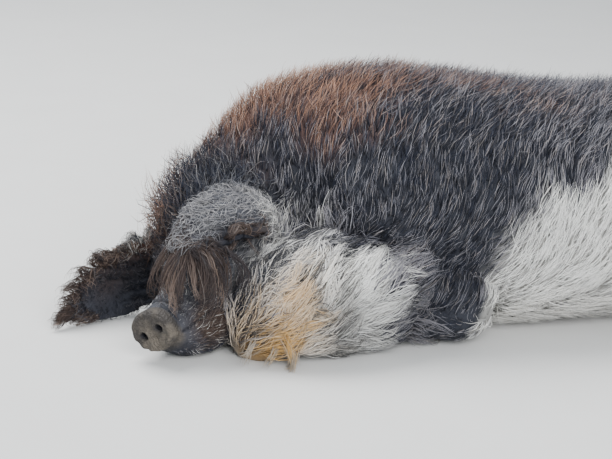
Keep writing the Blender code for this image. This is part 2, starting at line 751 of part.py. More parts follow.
def main():
    clear_scene()
    draw = random.Random(SEED)

    # The plain bodies.
    trunk = {part: trunk_piece(part) for part in SEAMS}
    head = head_form("head", head_core)
    join(head, [head_ball("lid", LIDS, side, LIDS_SIZE) for side in (1, -1)], "UNION")
    eyes = [head_ball("eye_left", EYE, 1, (EYE_RADIUS,) * 3), head_ball("eye_right", EYE, -1, (EYE_RADIUS,) * 3)]
    ears = [ear("ear_left", LEFT_EAR, head_frame), ear("ear_right", RIGHT_EAR, world_frame)]
    legs = {name: leg(name) for name in LEGS}
    feet = {name: claws(name) for name in LEGS}
    ruff = ruff_piece()
    tuft = tail()
    disc = snout_disc()

    # Sockets and seams, cut while every body is still plain.
    fore = [legs["foreleg_left"], legs["foreleg_right"]] + feet["foreleg_left"] + feet["foreleg_right"]
    hind = [legs["hindleg_left"], legs["hindleg_right"]] + feet["hindleg_left"] + feet["hindleg_right"]
    beside_ruff = [trunk["chest"], trunk["neck"], head, legs["foreleg_left"]] + feet["foreleg_left"]
    plain = {name: grown(body, 0) for name, body in
             (("ruff", ruff), ("head", head), ("left", ears[0]), ("right", ears[1]), ("tail", tuft))}
    plain["neck"] = grown(trunk["neck"], 0)
    cut_clear(ruff, beside_ruff, SEAM)
    for blade in ears:
        cut_clear(blade, [head, trunk["neck"]], SEAM)
    cut_clear(tuft, [trunk["rump"]], SEAM)

    # The locks, joined on, then cut clear of the neighbours.
    around = {"rump": hind + [plain["tail"]], "belly": hind, "chest": fore + [plain["ruff"]],
              "neck": fore + [plain["ruff"], plain["left"]]}
    for part, body in trunk.items():
        join(body, trunk_locks(part, around[part], draw), "UNION")
        cut_clear(body, fore if part in ("chest", "neck") else hind, SEAM)
    cut_clear(trunk["rump"], [plain["tail"]], CLEAR)
    join(ruff, ruff_locks([plain["head"], plain["left"], plain["neck"], trunk["chest"]] + fore, draw), "UNION")
    join(head, forelock(draw), "UNION")
    cut_clear(head, eyes + [plain["left"], plain["right"]], CLEAR)
    down = Vector((-0.25, -0.35, -0.90)).normalized()
    shares = (0.42, 0.53, 0.64, 0.75, 0.86, 0.96)
    join(ears[0], fringe(LEFT_EAR, head_frame, shares, 0.38, down, 0.075, 0.027, draw), "UNION")
    ahead = Vector((-0.75, -0.35, -0.35)).normalized()
    shares = (0.45, 0.57, 0.69, 0.81, 0.92)
    join(ears[1], fringe(RIGHT_EAR, world_frame, shares, 0.30, ahead, 0.048, 0.026, draw), "UNION")
    cut_clear(ears[0], [plain["ruff"], plain["head"]], CLEAR)
    join(tuft, tail_tuft(draw), "UNION")
    for name, limb in legs.items():
        if name.startswith("hind"):
            join(limb, thigh_locks(name, [trunk["rump"], trunk["belly"]], draw), "UNION")
        cut_clear(limb, feet[name], CLEAR)
    for body in [head, ruff, tuft] + ears:
        on_floor(keep_largest(body))
    for spare in plain.values():
        remove(spare)

    for obj in bpy.data.objects:
        obj.data.transform(Matrix.Translation(TO_MIDDLE))
    for part in trunk.values():
        paint(part, BLACK, 0.85)
    paint(head, SLATE, 0.8)
    paint(ruff, CREAM, 0.85)
    paint(disc, SNOUT_GREY, 0.6)
    paint(tuft, BLACK, 0.85)
    for blade in ears:
        paint(blade, SLATE, 0.7)
    for eye in eyes:
        paint(eye, EYE_BROWN, 0.1)
    for name, limb in legs.items():
        paint(limb, BLACK, 0.8)
        for claw in feet[name]:
            paint(claw, HORN, 0.5)


if __name__ == "__main__":
    main()
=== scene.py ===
"""A swallow-bellied mangalica pig asleep on its belly, life size: skin, coat, eyes, claws and a plain stage.

Metres, +Z up. The head is towards -X and the pig's left side faces -Y. The skin is one closed mesh over the
flesh of the solid frame. The coat is solid tufts that are sown on the skin, combed along the lie of the hair
and drawn together into locks. Skin and coat take their markings from the same functions of place.
"""

import math
from collections import namedtuple

import bmesh
import bpy
import numpy as np
from bpy.props import FloatProperty, FloatVectorProperty, IntProperty, PointerProperty
from mathutils import Matrix, Vector
from mathutils.bvhtree import BVHTree
from mathutils.kdtree import KDTree


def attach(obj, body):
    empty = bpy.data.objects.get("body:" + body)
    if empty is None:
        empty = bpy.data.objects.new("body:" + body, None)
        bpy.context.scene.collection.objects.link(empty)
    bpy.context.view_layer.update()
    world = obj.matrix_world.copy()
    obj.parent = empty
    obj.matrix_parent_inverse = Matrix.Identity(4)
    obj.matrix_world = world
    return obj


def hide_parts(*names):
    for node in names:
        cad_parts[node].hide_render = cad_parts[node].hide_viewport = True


bl_info = {
    "name": "Swallow-bellied mangalica pig",
    "version": (1, 0, 0),
    "blender": (4, 5, 0),
    "location": "3D Viewport > Sidebar > Pig",
    "description": "Builds the skin, coat, eyes and claws of a sleeping pig over its solid frame",
    "category": "Object",
}

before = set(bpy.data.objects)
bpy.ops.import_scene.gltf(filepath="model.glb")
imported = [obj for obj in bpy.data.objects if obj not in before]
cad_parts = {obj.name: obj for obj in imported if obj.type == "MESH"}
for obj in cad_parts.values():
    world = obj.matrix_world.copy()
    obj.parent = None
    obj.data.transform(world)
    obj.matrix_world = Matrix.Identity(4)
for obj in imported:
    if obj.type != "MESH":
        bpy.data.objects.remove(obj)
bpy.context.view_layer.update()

# The tables of the body count from the middle of the trunk. This step brings them into the frame.
MIDDLE = Vector((0.040, 0.0, 0.0))

# A body ring: place on the centre line, its turn, reach left and right, up and down, squareness.
Ring = namedtuple("Ring", "x y z yaw pitch roll half up down square")
TRUNK = (
    Ring(0.612, 0.000, 0.200, 0, 0, 4, 0.030, 0.035, 0.060, 2.0),
    Ring(0.596, 0.000, 0.200, 0, 0, 4, 0.095, 0.080, 0.130, 2.1),
    Ring(0.560, 0.000, 0.190, 0, 0, 5, 0.160, 0.130, 0.180, 2.2),
    Ring(0.490, 0.000, 0.180, 0, 0, 6, 0.210, 0.165, 0.195, 2.4),
    Ring(0.390, 0.000, 0.175, 0, 0, 6, 0.238, 0.178, 0.195, 2.5),
    Ring(0.260, 0.000, 0.170, 0, 0, 6, 0.252, 0.180, 0.190, 2.5),
    Ring(0.110, 0.000, 0.170, 0, 0, 7, 0.260, 0.194, 0.190, 2.4),
    Ring(-0.040, 0.000, 0.175, 0, 0, 8, 0.252, 0.212, 0.195, 2.3),
    Ring(-0.170, 0.000, 0.185, 0, 0, 9, 0.232, 0.218, 0.200, 2.2),
    Ring(-0.270, 0.002, 0.195, 4, 0, 11, 0.208, 0.202, 0.190, 2.1),
    Ring(-0.345, 0.006, 0.180, 14, 3, 18, 0.184, 0.192, 0.150, 2.1),
)
RUFF = (
    Ring(-0.190, -0.180, 0.085, 0, 0, 0, 0.030, 0.050, 0.060, 2.0),
    Ring(-0.220, -0.180, 0.085, 0, 0, 0, 0.062, 0.080, 0.090, 2.2),
    Ring(-0.285, -0.178, 0.090, 2, 0, 0, 0.080, 0.092, 0.100, 2.4),
    Ring(-0.360, -0.178, 0.088, 4, 0, 0, 0.083, 0.092, 0.100, 2.4),
    Ring(-0.430, -0.182, 0.076, 6, 0, 0, 0.076, 0.080, 0.095, 2.3),
    Ring(-0.475, -0.190, 0.060, 10, 0, 0, 0.056, 0.055, 0.075, 2.1),
    Ring(-0.498, -0.198, 0.050, 14, 0, 0, 0.026, 0.026, 0.045, 2.0),
)

# A head ring: distance behind the snout, height of the mouth plane, reach to the sides, up and down.
HeadRing = namedtuple("HeadRing", "back rise half up down square")
HEAD = (
    HeadRing(0.010, -0.024, 0.034, 0.055, 0.008, 2.2),
    HeadRing(0.040, -0.028, 0.038, 0.061, 0.038, 2.2),
    HeadRing(0.075, -0.030, 0.047, 0.069, 0.054, 2.2),
    HeadRing(0.115, -0.032, 0.057, 0.081, 0.060, 2.2),
    HeadRing(0.155, -0.034, 0.069, 0.099, 0.065, 2.2),
    HeadRing(0.195, -0.034, 0.086, 0.124, 0.072, 2.1),
    HeadRing(0.235, -0.030, 0.104, 0.146, 0.083, 2.1),
    HeadRing(0.270, -0.020, 0.118, 0.158, 0.095, 2.1),
    HeadRing(0.300, -0.012, 0.128, 0.162, 0.105, 2.1),
)
SNOUT = Vector((-0.641, -0.196, 0.055))
HEAD_YAW = 42.5
HEAD_PITCH = 11.5
HEAD_ROLL = 38.0
DISC = ((-0.003, 0.80), (0.000, 0.94), (0.005, 1.00), (0.011, 0.97), (0.022, 0.90))
DISC_HALF = 0.042
DISC_UP = 0.036
DISC_DOWN = 0.037
DISC_RISE = 0.002        # of its centre and of the nostrils over the head's axis
NOSTRIL_ASIDE = 0.0185
NOSTRIL_RADIUS = 0.0085
EAR_OPENING = np.array((-0.447, -0.168, 0.190))
EAR_DROP = np.array((-0.002, 0.010, 0.030))     # from the lower end of the opening to its upper end
EAR_MOUND = (-0.455, -0.100, 0.232)
CHEEK_PATCH = (-0.503, -0.192, 0.064)
ELBOW = (-0.112, -0.195, 0.068)
EAR_ROOT = (-0.352, -0.112, 0.200)
# Spots of painted shadow cast by the left ear on the skin under it.
LEFT_EAR_SHADOW = ((-0.505, -0.155, 0.150), (-0.470, -0.180, 0.155))
STAIN_LOW = (-0.430, -0.225, 0.030)
STAIN_HIGH = (-0.405, -0.245, 0.095)
TASSEL_ROOT = (-0.400, -0.255, 0.040)
MOUTH_CORNER = 0.165
SNOUT_FOLDS = ((0.024, -3.4, 0.0030), (0.034, 2.2, 0.0045), (0.045, -2.8, 0.0030), (0.057, 1.6, 0.0050),
               (0.069, -1.8, 0.0032), (0.084, -1.2, 0.0035))   # behind the disc, height in mm, half breadth

# The eye in the head: behind the snout, aside and up, its radius, and the form of the lids over it.
EYE = Vector((0.200, 0.0730, 0.0380))
EYE_RADIUS = 0.0125
LID = Vector((0.024, 0.014, 0.018))
LID_THICK = 0.0022
LID_REACH = 0.030        # the folds of the lids end this far from the middle of the eye

# Legs as joints of the left side with their radius, and how far the right leg stands off along X.
Joint = namedtuple("Joint", "x y z r")
FORELEG = (Joint(-0.200, -0.140, 0.165, 0.084), Joint(-0.110, -0.195, 0.068, 0.070),
           Joint(-0.250, -0.160, 0.038, 0.038), Joint(-0.335, -0.150, 0.028, 0.028))
HINDLEG = (Joint(0.430, -0.142, 0.150, 0.130), Joint(0.290, -0.215, 0.095, 0.090),
           Joint(0.485, -0.258, 0.046, 0.046), Joint(0.360, -0.285, 0.029, 0.029))
LEGS = {"foreleg_left": (FORELEG, 1, 0.0), "foreleg_right": (FORELEG, -1, -0.012),
        "hindleg_left": (HINDLEG, 1, 0.0), "hindleg_right": (HINDLEG, -1, 0.020)}
TAIL = (Joint(0.600, 0.000, 0.262, 0.020), Joint(0.630, 0.008, 0.225, 0.016),
        Joint(0.645, 0.022, 0.160, 0.012), Joint(0.655, 0.035, 0.090, 0.010),
        Joint(0.668, 0.048, 0.035, 0.012))

# Ears: centre of each station, the way the blade runs across, half width, how far the rims curl. The left
# ear's count from the snout disc in the head, the right ear's like the trunk's.
Blade = namedtuple("Blade", "x y z ax ay az half curl")
LEFT_EAR = (
    Blade(0.288, 0.100, 0.020, 0.45, -0.50, 0.74, 0.036, 0.018),
    Blade(0.258, 0.130, 0.052, 0.50, -0.42, 0.74, 0.050, 0.018),
    Blade(0.208, 0.122, 0.078, 0.56, -0.36, 0.74, 0.060, 0.016),
    Blade(0.150, 0.096, 0.088, 0.60, -0.36, 0.72, 0.054, 0.012),
    Blade(0.092, 0.066, 0.082, 0.60, -0.36, 0.72, 0.016, 0.003),
)
RIGHT_EAR = (
    Blade(-0.515, 0.040, 0.110, 0.10, -0.25, -0.96, 0.038, 0.018),
    Blade(-0.570, 0.050, 0.080, 0.10, -0.25, -0.96, 0.050, 0.018),
    Blade(-0.628, 0.038, 0.057, 0.10, -0.25, -0.96, 0.056, 0.012),
    Blade(-0.684, 0.014, 0.040, 0.10, -0.25, -0.96, 0.042, 0.008),
    Blade(-0.724, -0.006, 0.019, 0.10, -0.25, -0.96, 0.013, 0.002),
)
EAR_THICK = 0.0055

# The parts of the skin, in the order in which a later one claims what an earlier one also touches.
PARTS = ("trunk", "head", "ruff", "foreleg_left", "foreleg_right", "hindleg_left", "hindleg_right", "tail",
         "ear_left", "ear_right")
FLESH = ("rump", "belly", "chest", "neck", "head", "ruff", "snout_disc", "ear_left", "ear_right", "tail",
         *LEGS)
FLOOR_CLEAR = 0.0012     # hair stays this far above the floor
MOST_TRIANGLES = 190000  # in one piece of the coat
LABEL_REACH = 0.006      # skin this near to the form of a part counts as that part's
ROOT_DEPTH = 0.004       # tufts start this far under the skin
TUFT_FLAT = 0.4          # height of a tuft against its width
PATCH = 0.003            # size of a tuft's patch on the map of the skin
FLOOR_LIFT = 0.004       # most that hair which lies on the floor is lifted off it
SEEDS = dict(trunk=21, ruff=22, head=23, ears=24, limbs=25, whiskers=26, fringes=31, conch=33, tassel=34)


def turned(yaw, pitch, roll):
    """Forward, left and up of a ring as the columns of a matrix. With no turn it looks along -X."""
    looks_back = Matrix(((-1, 0, 0), (0, -1, 0), (0, 0, 1)))
    turn = Matrix.Rotation(math.radians(yaw), 3, "Z") @ looks_back
    turn = turn @ Matrix.Rotation(math.radians(pitch), 3, "Y")
    return turn @ Matrix.Rotation(math.radians(roll), 3, "X")


HEAD_TURN = turned(HEAD_YAW, HEAD_PITCH, HEAD_ROLL)
HEAD_AXES = np.array(HEAD_TURN).T


def in_head(back, left, up):
    """A point behind, left of and above the snout disc's centre, in the frame."""
    return MIDDLE + SNOUT + HEAD_TURN @ Vector((-back, left, up))


def eye_place(side):
    """The centre of an eye: side is 1 for the left one and -1 for the right one."""
    return in_head(EYE.x, side * EYE.y, EYE.z)


def head_place(points):
    """Points of the frame as distance behind, left of and above the snout disc's centre."""
    local = (points - np.array(MIDDLE + SNOUT)) @ HEAD_AXES.T
    return np.column_stack((-local[:, 0], local[:, 1], local[:, 2]))


def along(table, place):
    """The row at a place counted in rows, on a smooth curve through all of them."""
    last = len(table) - 1
    first = max(0, min(int(place), last - 1))
    t = place - first
    rows = [table[max(0, min(last, first + step))] for step in (-1, 0, 1, 2)]
    values = []
    for a, b, c, d in zip(*rows):
        values.append(b + 0.5 * t * (c - a + t * (2 * a - 5 * b + 4 * c - d + t * (3 * (b - c) + d - a))))
    return type(table[0])(*values)


def unit(vectors):
    return vectors / np.maximum(np.linalg.norm(vectors, axis=-1, keepdims=True), 1e-9)


def tangent(vectors, normals):
    """The part of each vector that runs along the skin."""
    return vectors - normals * np.sum(vectors * normals, axis=-1, keepdims=True)


def ease(low, high, value):
    """0 below low, 1 above high, eased between."""
    t = np.clip((value - low) / (high - low), 0.0, 1.0)
    return t * t * (3 - 2 * t)


def bell(value, breadth):
    """1 where a value is 0, falling to nothing at about twice the breadth to either side."""
    return np.exp(-((value / breadth) ** 2))


def blob(points, centre, radius):
    """1 at a centre, falling to nothing at about twice the radius."""
    return bell(np.linalg.norm(points - np.array(centre), axis=-1), radius)


def ripple(points, size, seed):
    """A smooth random value from -1 to 1 that changes over about a size."""
    draw = np.random.default_rng(seed)
    total = np.zeros(len(points))
    for wave in range(5):
        way = unit(draw.normal(size=3)) / size * draw.uniform(0.7, 1.6)
        total += np.sin(points @ way * math.pi + draw.uniform(0, 6.28))
    return total / 3.0


# Markings: every function takes points of the frame and gives a share from 0 to 1.

FLANK_EDGE_X = (-0.085, -0.060, -0.045, -0.030, 0.000, 0.040, 0.090, 0.150, 0.200, 0.300, 0.400, 0.500, 0.620)
FLANK_EDGE_Z = (-0.060, 0.020, 0.090, 0.135, 0.180, 0.215, 0.240, 0.256, 0.266, 0.255, 0.215, 0.150, 0.080)


def flank_edge(points):
    """How far a point is under the edge of the pale flank."""
    x, y, z = points.T
    return np.interp(x, FLANK_EDGE_X, FLANK_EDGE_Z) - z + 0.022 * ripple(points, 0.05, 3)


def pale_share(points):
    """The pale throat, cheek ruff, belly and lower flank."""
    x, y, z = points.T
    # Less pale low on the rear flank by the floor: painted shade.
    low = 0.20 * ease(0.12, 0.05, z) * ease(0.02, 0.12, x)
    elbow = np.minimum(1, 1.4 * blob(points, ELBOW, 0.084))
    belly = ease(-0.045, 0.040, flank_edge(points)) * (1 - low) * (1 - elbow)
    ruff = ease(-0.515, -0.445, x - 0.45 * z) * ease(-0.150, -0.215, x - 0.15 * z)
    ruff = ruff * ease(0.180, 0.125, z + 0.02 * ripple(points, 0.04, 4)) * ease(0.09, 0.13, np.abs(y))
    rear = ease(-0.195, -0.285, x + 0.02 * ripple(points, 0.03, 5))
    ruff = ruff * (1 - blob(points, CHEEK_PATCH, 0.040)) * rear
    return np.clip(np.maximum.reduce((belly, ruff, blob(points, EAR_ROOT, 0.030))), 0, 1)


def grizzle_share(points):
    """Where more light hairs stand among the dark: above the pale flank and on the neck beside the ruff."""
    x, y, z = points.T
    above = ease(-0.16, -0.02, flank_edge(points))
    beside = ease(0.30, 0.18, z) * ease(-0.10, -0.20, x) * ease(-0.42, -0.36, x)
    return np.clip(np.maximum(above, 0.7 * beside), 0, 1)


def stain_share(points):
    """Yellow-orange earth stain low in the left side of the ruff."""
    low = blob(points, STAIN_LOW, 0.055)
    high = 0.8 * blob(points, STAIN_HIGH, 0.042)
    return np.clip(np.maximum(low, high) * 1.1, 0, 1)


def rust_share(points):
    """Sun-bleached red brown along the crest, strongest over the neck."""
    x, y, z = points.T
    high = z + 0.035 * ripple(points, 0.06, 6) + 0.075 * ease(-0.16, -0.32, x)
    high = high + 0.10 * ease(-0.02, 0.10, y) * ease(-0.20, -0.34, x)
    strength = 0.68 + 0.27 * ease(0.02, -0.14, x)
    crest = ease(0.330, 0.475, high) * ease(0.70, 0.05, x) * ease(-0.50, -0.38, x) * strength
    back, left, up = head_place(points).T
    forelock = 0.7 * ease(0.07, 0.10, up) * ease(0.01, -0.05, left) * ease(-0.13, -0.09, left)
    forelock = forelock * ease(0.14, 0.19, back)
    return np.clip(np.maximum(crest, forelock), 0, 1)


def rim_share(points, name, start, reach):
    """1 on the fringed rim of an ear from a share of its length to the tip, less with distance."""
    nearest = np.full(len(points), 1e9)
    for n in range(17):
        centre, way, across, face, half, curl = ear_station(name, start + (1 - start) * n / 16)
        rim = np.array(centre - across * half - face * curl)
        nearest = np.minimum(nearest, np.linalg.norm(points - rim, axis=-1))
    return bell(nearest, reach)


def brown_share(points):
    """Brown hair on the forehead, on the rims of the ears and in a patch on the left cheek."""
    back, left, up = head_place(points).T
    forehead = ease(0.050, 0.090, up) * ease(0.08, 0.14, back) * ease(0.36, 0.28, back)
    forehead = forehead * (0.28 + 0.4 * ease(0.02, -0.05, left)) * (1 - blob(points, EAR_MOUND, 0.075))
    cheek = np.minimum(1, 1.5 * blob(points, CHEEK_PATCH, 0.036))
    rims = np.maximum(rim_share(points, "ear_left", 0.4, 0.020), rim_share(points, "ear_right", 0.15, 0.022))
    return np.clip(np.maximum.reduce((forehead, cheek, rims)), 0, 1)


def slate_share(points):
    """Grey hair on cheek and muzzle and on the back of the left ear."""
    x, y, z = points.T
    back, left, up = head_place(points).T
    face = 0.6 * ease(0.33, 0.25, back) * ease(0.085, 0.045, up) * ease(-0.045, -0.015, up)
    face = face * ease(-0.13, -0.10, left)
    rim = rim_share(points, "ear_left", 0.4, 0.022)
    ear = blob(points, EAR_MOUND, 0.080) * (1 - rim) * ease(0.185, 0.205, z)
    cheek = 0.8 * ease(-0.34, -0.42, x) * ease(-0.10, -0.14, y) * ease(0.02, 0.06, z)
    return np.clip(np.maximum.reduce((face, ear, cheek)) * (1 - blob(points, CHEEK_PATCH, 0.045)), 0, 1)


def snout_share(points):
    """The bare, sandy skin of the snout disc."""
    back = head_place(points)[:, 0]
    return ease(0.028, 0.012, back)


def painted_shade_share(points):
    """Painted shade in and under the left ear, in the nostrils, along the mouth line and in the folds of the
    snout.
    """
    back, left, up = head_place(points).T
    # Painted shade in the left ear's opening.
    opening_shade = blob(points, EAR_OPENING, 0.027) + blob(points, EAR_OPENING - EAR_DROP, 0.032)
    opening_shade = np.minimum(1, 2.3 * opening_shade)
    # Painted shade in the nostrils.
    away = np.hypot(np.abs(left) - NOSTRIL_ASIDE, up - DISC_RISE)
    nostril_shade = ease(NOSTRIL_RADIUS, 0.0050, away) * ease(0.020, 0.010, back)
    # Painted shade along the mouth line.
    mouth = 0.75 * bell(up - mouth_rise(back), 0.0020) * ease(0.16, 0.15, back) * ease(0.018, 0.026, back)
    # Painted shade in the valleys of the snout folds.
    valleys = [(spot, size) for spot, size, _ in SNOUT_FOLDS if size < 0]
    crease = sum(-0.32 * size * bell(fold_place(back, left, spot), 0.0028) for spot, size in valleys)
    crease = crease * ease(-0.020, 0.010, up)
    # Painted shadow of the left ear on the skin under it.
    ear_shadow = 0.8 * np.maximum(blob(points, LEFT_EAR_SHADOW[0], 0.046), blob(points, LEFT_EAR_SHADOW[1], 0.036))
    return np.clip(np.maximum.reduce((opening_shade, nostril_shade, mouth, crease, ear_shadow)), 0, 1)


def fold_place(back, left, spot):
    """How far a place is behind a fold of the snout, which bends back to the sides."""
    return back - spot - 0.003 * np.sin(left * 90 + spot * 200) - 0.10 * np.abs(left)


def mouth_rise(back):
    """Height of the mouth line over the disc's centre, rising a little to its corner."""
    plane = np.interp(back, [row.back for row in HEAD], [row.rise for row in HEAD])
    return plane + 0.012 * ease(0.10, MOUTH_CORNER, back)


# Of these, the share of the dark in hollows and under the left ear is painted shade.
MARKINGS = {"pale": pale_share, "stain": stain_share, "rust": rust_share, "brown": brown_share,
            "slate": slate_share, "snout": snout_share, "dark_and_shade": painted_shade_share, "grizzle": grizzle_share}


# Skin.

def outline(ring, angle, reach=0.0):
    """A point of the ring's outline in the frame, 0 degrees at its left and 90 at its top."""
    c, s = math.cos(angle), math.sin(angle)
    power = 2 / ring.square
    across = math.copysign(abs(c) ** power, c) * (ring.half + reach)
    upward = math.copysign(abs(s) ** power, s) * ((ring.up if s > 0 else ring.down) + reach)
    centre = MIDDLE + Vector((ring.x, ring.y, ring.z))
    return centre + turned(ring.yaw, ring.pitch, ring.roll) @ Vector((0, across, upward))


def ring_loop(ring, sides, reach=0.0):
    return [outline(ring, 2 * math.pi * n / sides, reach) for n in range(sides)]


def tube(loops):
    """A closed bmesh over a row of loops of corners."""
    bm = bmesh.new()
    before = None
    for number, loop in enumerate(loops):
        verts = bmesh.ops.create_circle(bm, segments=len(loop), radius=1.0)["verts"]
        for vert, corner in zip(verts, loop):
            vert.co = corner
        edges = list({edge for vert in verts for edge in vert.link_edges})
        if before:
            bmesh.ops.bridge_loops(bm, edges=before + edges)
        if number in (0, len(loops) - 1):
            bmesh.ops.contextual_create(bm, geom=edges)
        before = edges
    bm.normal_update()
    bmesh.ops.recalc_face_normals(bm, faces=bm.faces)
    bmesh.ops.triangulate(bm, faces=bm.faces)
    return bm


def head_ring(back):
    """The head ring at a distance behind the snout disc."""
    first = max(n for n, row in enumerate(HEAD[:-1]) if row.back <= back)
    row = along(HEAD, first + (back - HEAD[first].back) / (HEAD[first + 1].back - HEAD[first].back))
    centre = in_head(back, 0, row.rise) - MIDDLE
    return Ring(*centre, HEAD_YAW, HEAD_PITCH, HEAD_ROLL, row.half, row.up, row.down, row.square)


def trunk_form():
    body = TRUNK + (head_ring(HEAD[-1].back),)
    return tube([ring_loop(along(body, (len(body) - 1) * n / 44), 48) for n in range(45)])


def head_form():
    backs = [0.010 + 0.312 * n / 40 for n in range(38)]
    return tube([ring_loop(head_ring(min(back, 0.300)), 48) for back in backs if back <= 0.300])


def disc_form():
    loops = []
    for back, share in DISC:
        centre = in_head(back, 0, DISC_RISE) - MIDDLE
        reach = (DISC_HALF * share, DISC_UP * share, DISC_DOWN * share)
        loops.append(ring_loop(Ring(*centre, HEAD_YAW, HEAD_PITCH, HEAD_ROLL, *reach, 2.3), 32))
    return tube(loops)


def ball_form(centre, radii, sides=20):
    bm = bmesh.new()
    bmesh.ops.create_uvsphere(bm, u_segments=sides, v_segments=sides // 2, radius=1.0)
    for vert in bm.verts:
        vert.co = centre + HEAD_TURN @ Vector(a * b for a, b in zip(vert.co, radii))
    bm.normal_update()
    bmesh.ops.triangulate(bm, faces=bm.faces)
    return bm


def round_loop(centre, across, other, size, sides):
    """Corners of a circle."""
    angles = [2 * math.pi * n / sides for n in range(sides)]
    return [centre + size * (across * math.cos(t) + other * math.sin(t)) for t in angles]


def limb_form(start, end, sides=20):
    """A round-ended limb between two joints."""
    a, b = MIDDLE + Vector(start[:3]), MIDDLE + Vector(end[:3])
    way = (b - a).normalized()
    across = way.cross(Vector((0, 0, 1))).normalized()
    other = way.cross(across)
    loops = []
    for centre, radius, side in ((a, start.r, -1), (b, end.r, 1)):
        for ahead in sorted(side * step for step in (0.0, 0.3, 0.6, 0.85, 0.98)):
            size = radius * math.sqrt(1 - ahead * ahead)
            loops.append(round_loop(centre + way * radius * ahead, across, other, size, sides))
    return tube(loops)


def leg_joints(name):
    joints, side, shift = LEGS[name]
    return [Joint(j.x + shift, j.y * side, j.z, j.r) for j in joints]


def leg_forms(name):
    joints = leg_joints(name)
    return [limb_form(a, b) for a, b in zip(joints, joints[1:])]


def tail_form():
    loops = []
    for n in range(25):
        spot = along(TAIL, (len(TAIL) - 1) * n / 24)
        ahead = along(TAIL, min(len(TAIL) - 1, (len(TAIL) - 1) * n / 24 + 0.05))
        way = Vector(ahead[:3]) - Vector(spot[:3])
        way = way.normalized() if way.length > 1e-6 else Vector((0.2, 0.2, -1)).normalized()
        across = way.cross(Vector((0, 1, 0))).normalized()
        other = way.cross(across)
        size = spot.r * (0.6 if n == 24 else 1.0)
        loops.append(round_loop(MIDDLE + Vector(spot[:3]), across, other, size, 14))
    return tube(loops)


def ear_station(name, share):
    """Centre, way to the tip, way across and face of an ear at a share of its length."""
    table = LEFT_EAR if name == "ear_left" else RIGHT_EAR
    last = len(table) - 1

    def spot(place):
        row = along(table, max(0.0, min(last, place)))
        return in_head(*row[:3]) if name == "ear_left" else MIDDLE + Vector(row[:3])

    row = along(table, share * last)
    way = (spot(share * last + 0.1) - spot(share * last - 0.1)).normalized()
    across = Vector(row[3:6])
    if name == "ear_left":
        across = HEAD_TURN @ Vector((-across.x, across.y, across.z))
    face = across.cross(way).normalized()
    return spot(share * last), way, way.cross(face), face, row.half, row.curl


def ear_form(name):
    """A leaf-shaped blade, cupped across."""
    loops = []
    for n in range(25):
        centre, way, across, face, half, curl = ear_station(name, n / 24)
        outer, inner = [], []
        for cell in range(13):
            v = cell / 6 - 1
            middle = centre + across * v * half - face * curl * v * v
            thick = EAR_THICK / 2 * (0.55 + 0.45 * math.sqrt(max(0.0, 1 - v * v)))
            outer.append(middle + face * thick)
            inner.append(middle - face * thick)
        loops.append(outer + inner[::-1])
    return tube(loops)


def forms():
    """The closed forms of each part of the body, by the part's name."""
    lids = [ball_form(in_head(EYE.x, side * (EYE.y - 0.0035), EYE.z - 0.0015), LID) for side in (1, -1)]
    made = {
        "trunk": [trunk_form()],
        "head": [head_form(), disc_form()] + lids,
        "ruff": [tube([ring_loop(along(RUFF, 6 * n / 24), 32, -0.003) for n in range(25)])],
        "tail": [tail_form()],
        "ear_left": [ear_form("ear_left")],
        "ear_right": [ear_form("ear_right")],
    }
    for name in LEGS:
        made[name] = leg_forms(name)
    return made


def apply_modifier(obj, kind, **settings):
    step = obj.modifiers.new("step", kind)
    for name, value in settings.items():
        setattr(step, name, value)
    bpy.context.view_layer.objects.active = obj
    bpy.ops.object.modifier_apply(modifier=step.name)


def new_object(name, mesh):
    made = bpy.data.objects.new(name, mesh)
    bpy.context.scene.collection.objects.link(made)
    return made


def vertex_places(mesh):
    places = np.empty(len(mesh.vertices) * 3)
    mesh.vertices.foreach_get("co", places)
    return places.reshape(-1, 3)


def refine(obj):
    """Cuts the faces of the snout and round the eyes finer."""
    bm = bmesh.new()
    bm.from_mesh(obj.data)
    spots = [(in_head(0.004, 0, 0.0), 0.052), (eye_place(1), LID_REACH), (eye_place(-1), LID_REACH)]
    chosen = []
    for edge in bm.edges:
        middle = (edge.verts[0].co + edge.verts[1].co) / 2
        if any((middle - spot).length < reach for spot, reach in spots):
            chosen.append(edge)
    bmesh.ops.subdivide_edges(bm, edges=chosen, cuts=1, use_grid_fill=True)
    bm.to_mesh(obj.data)
    bm.free()


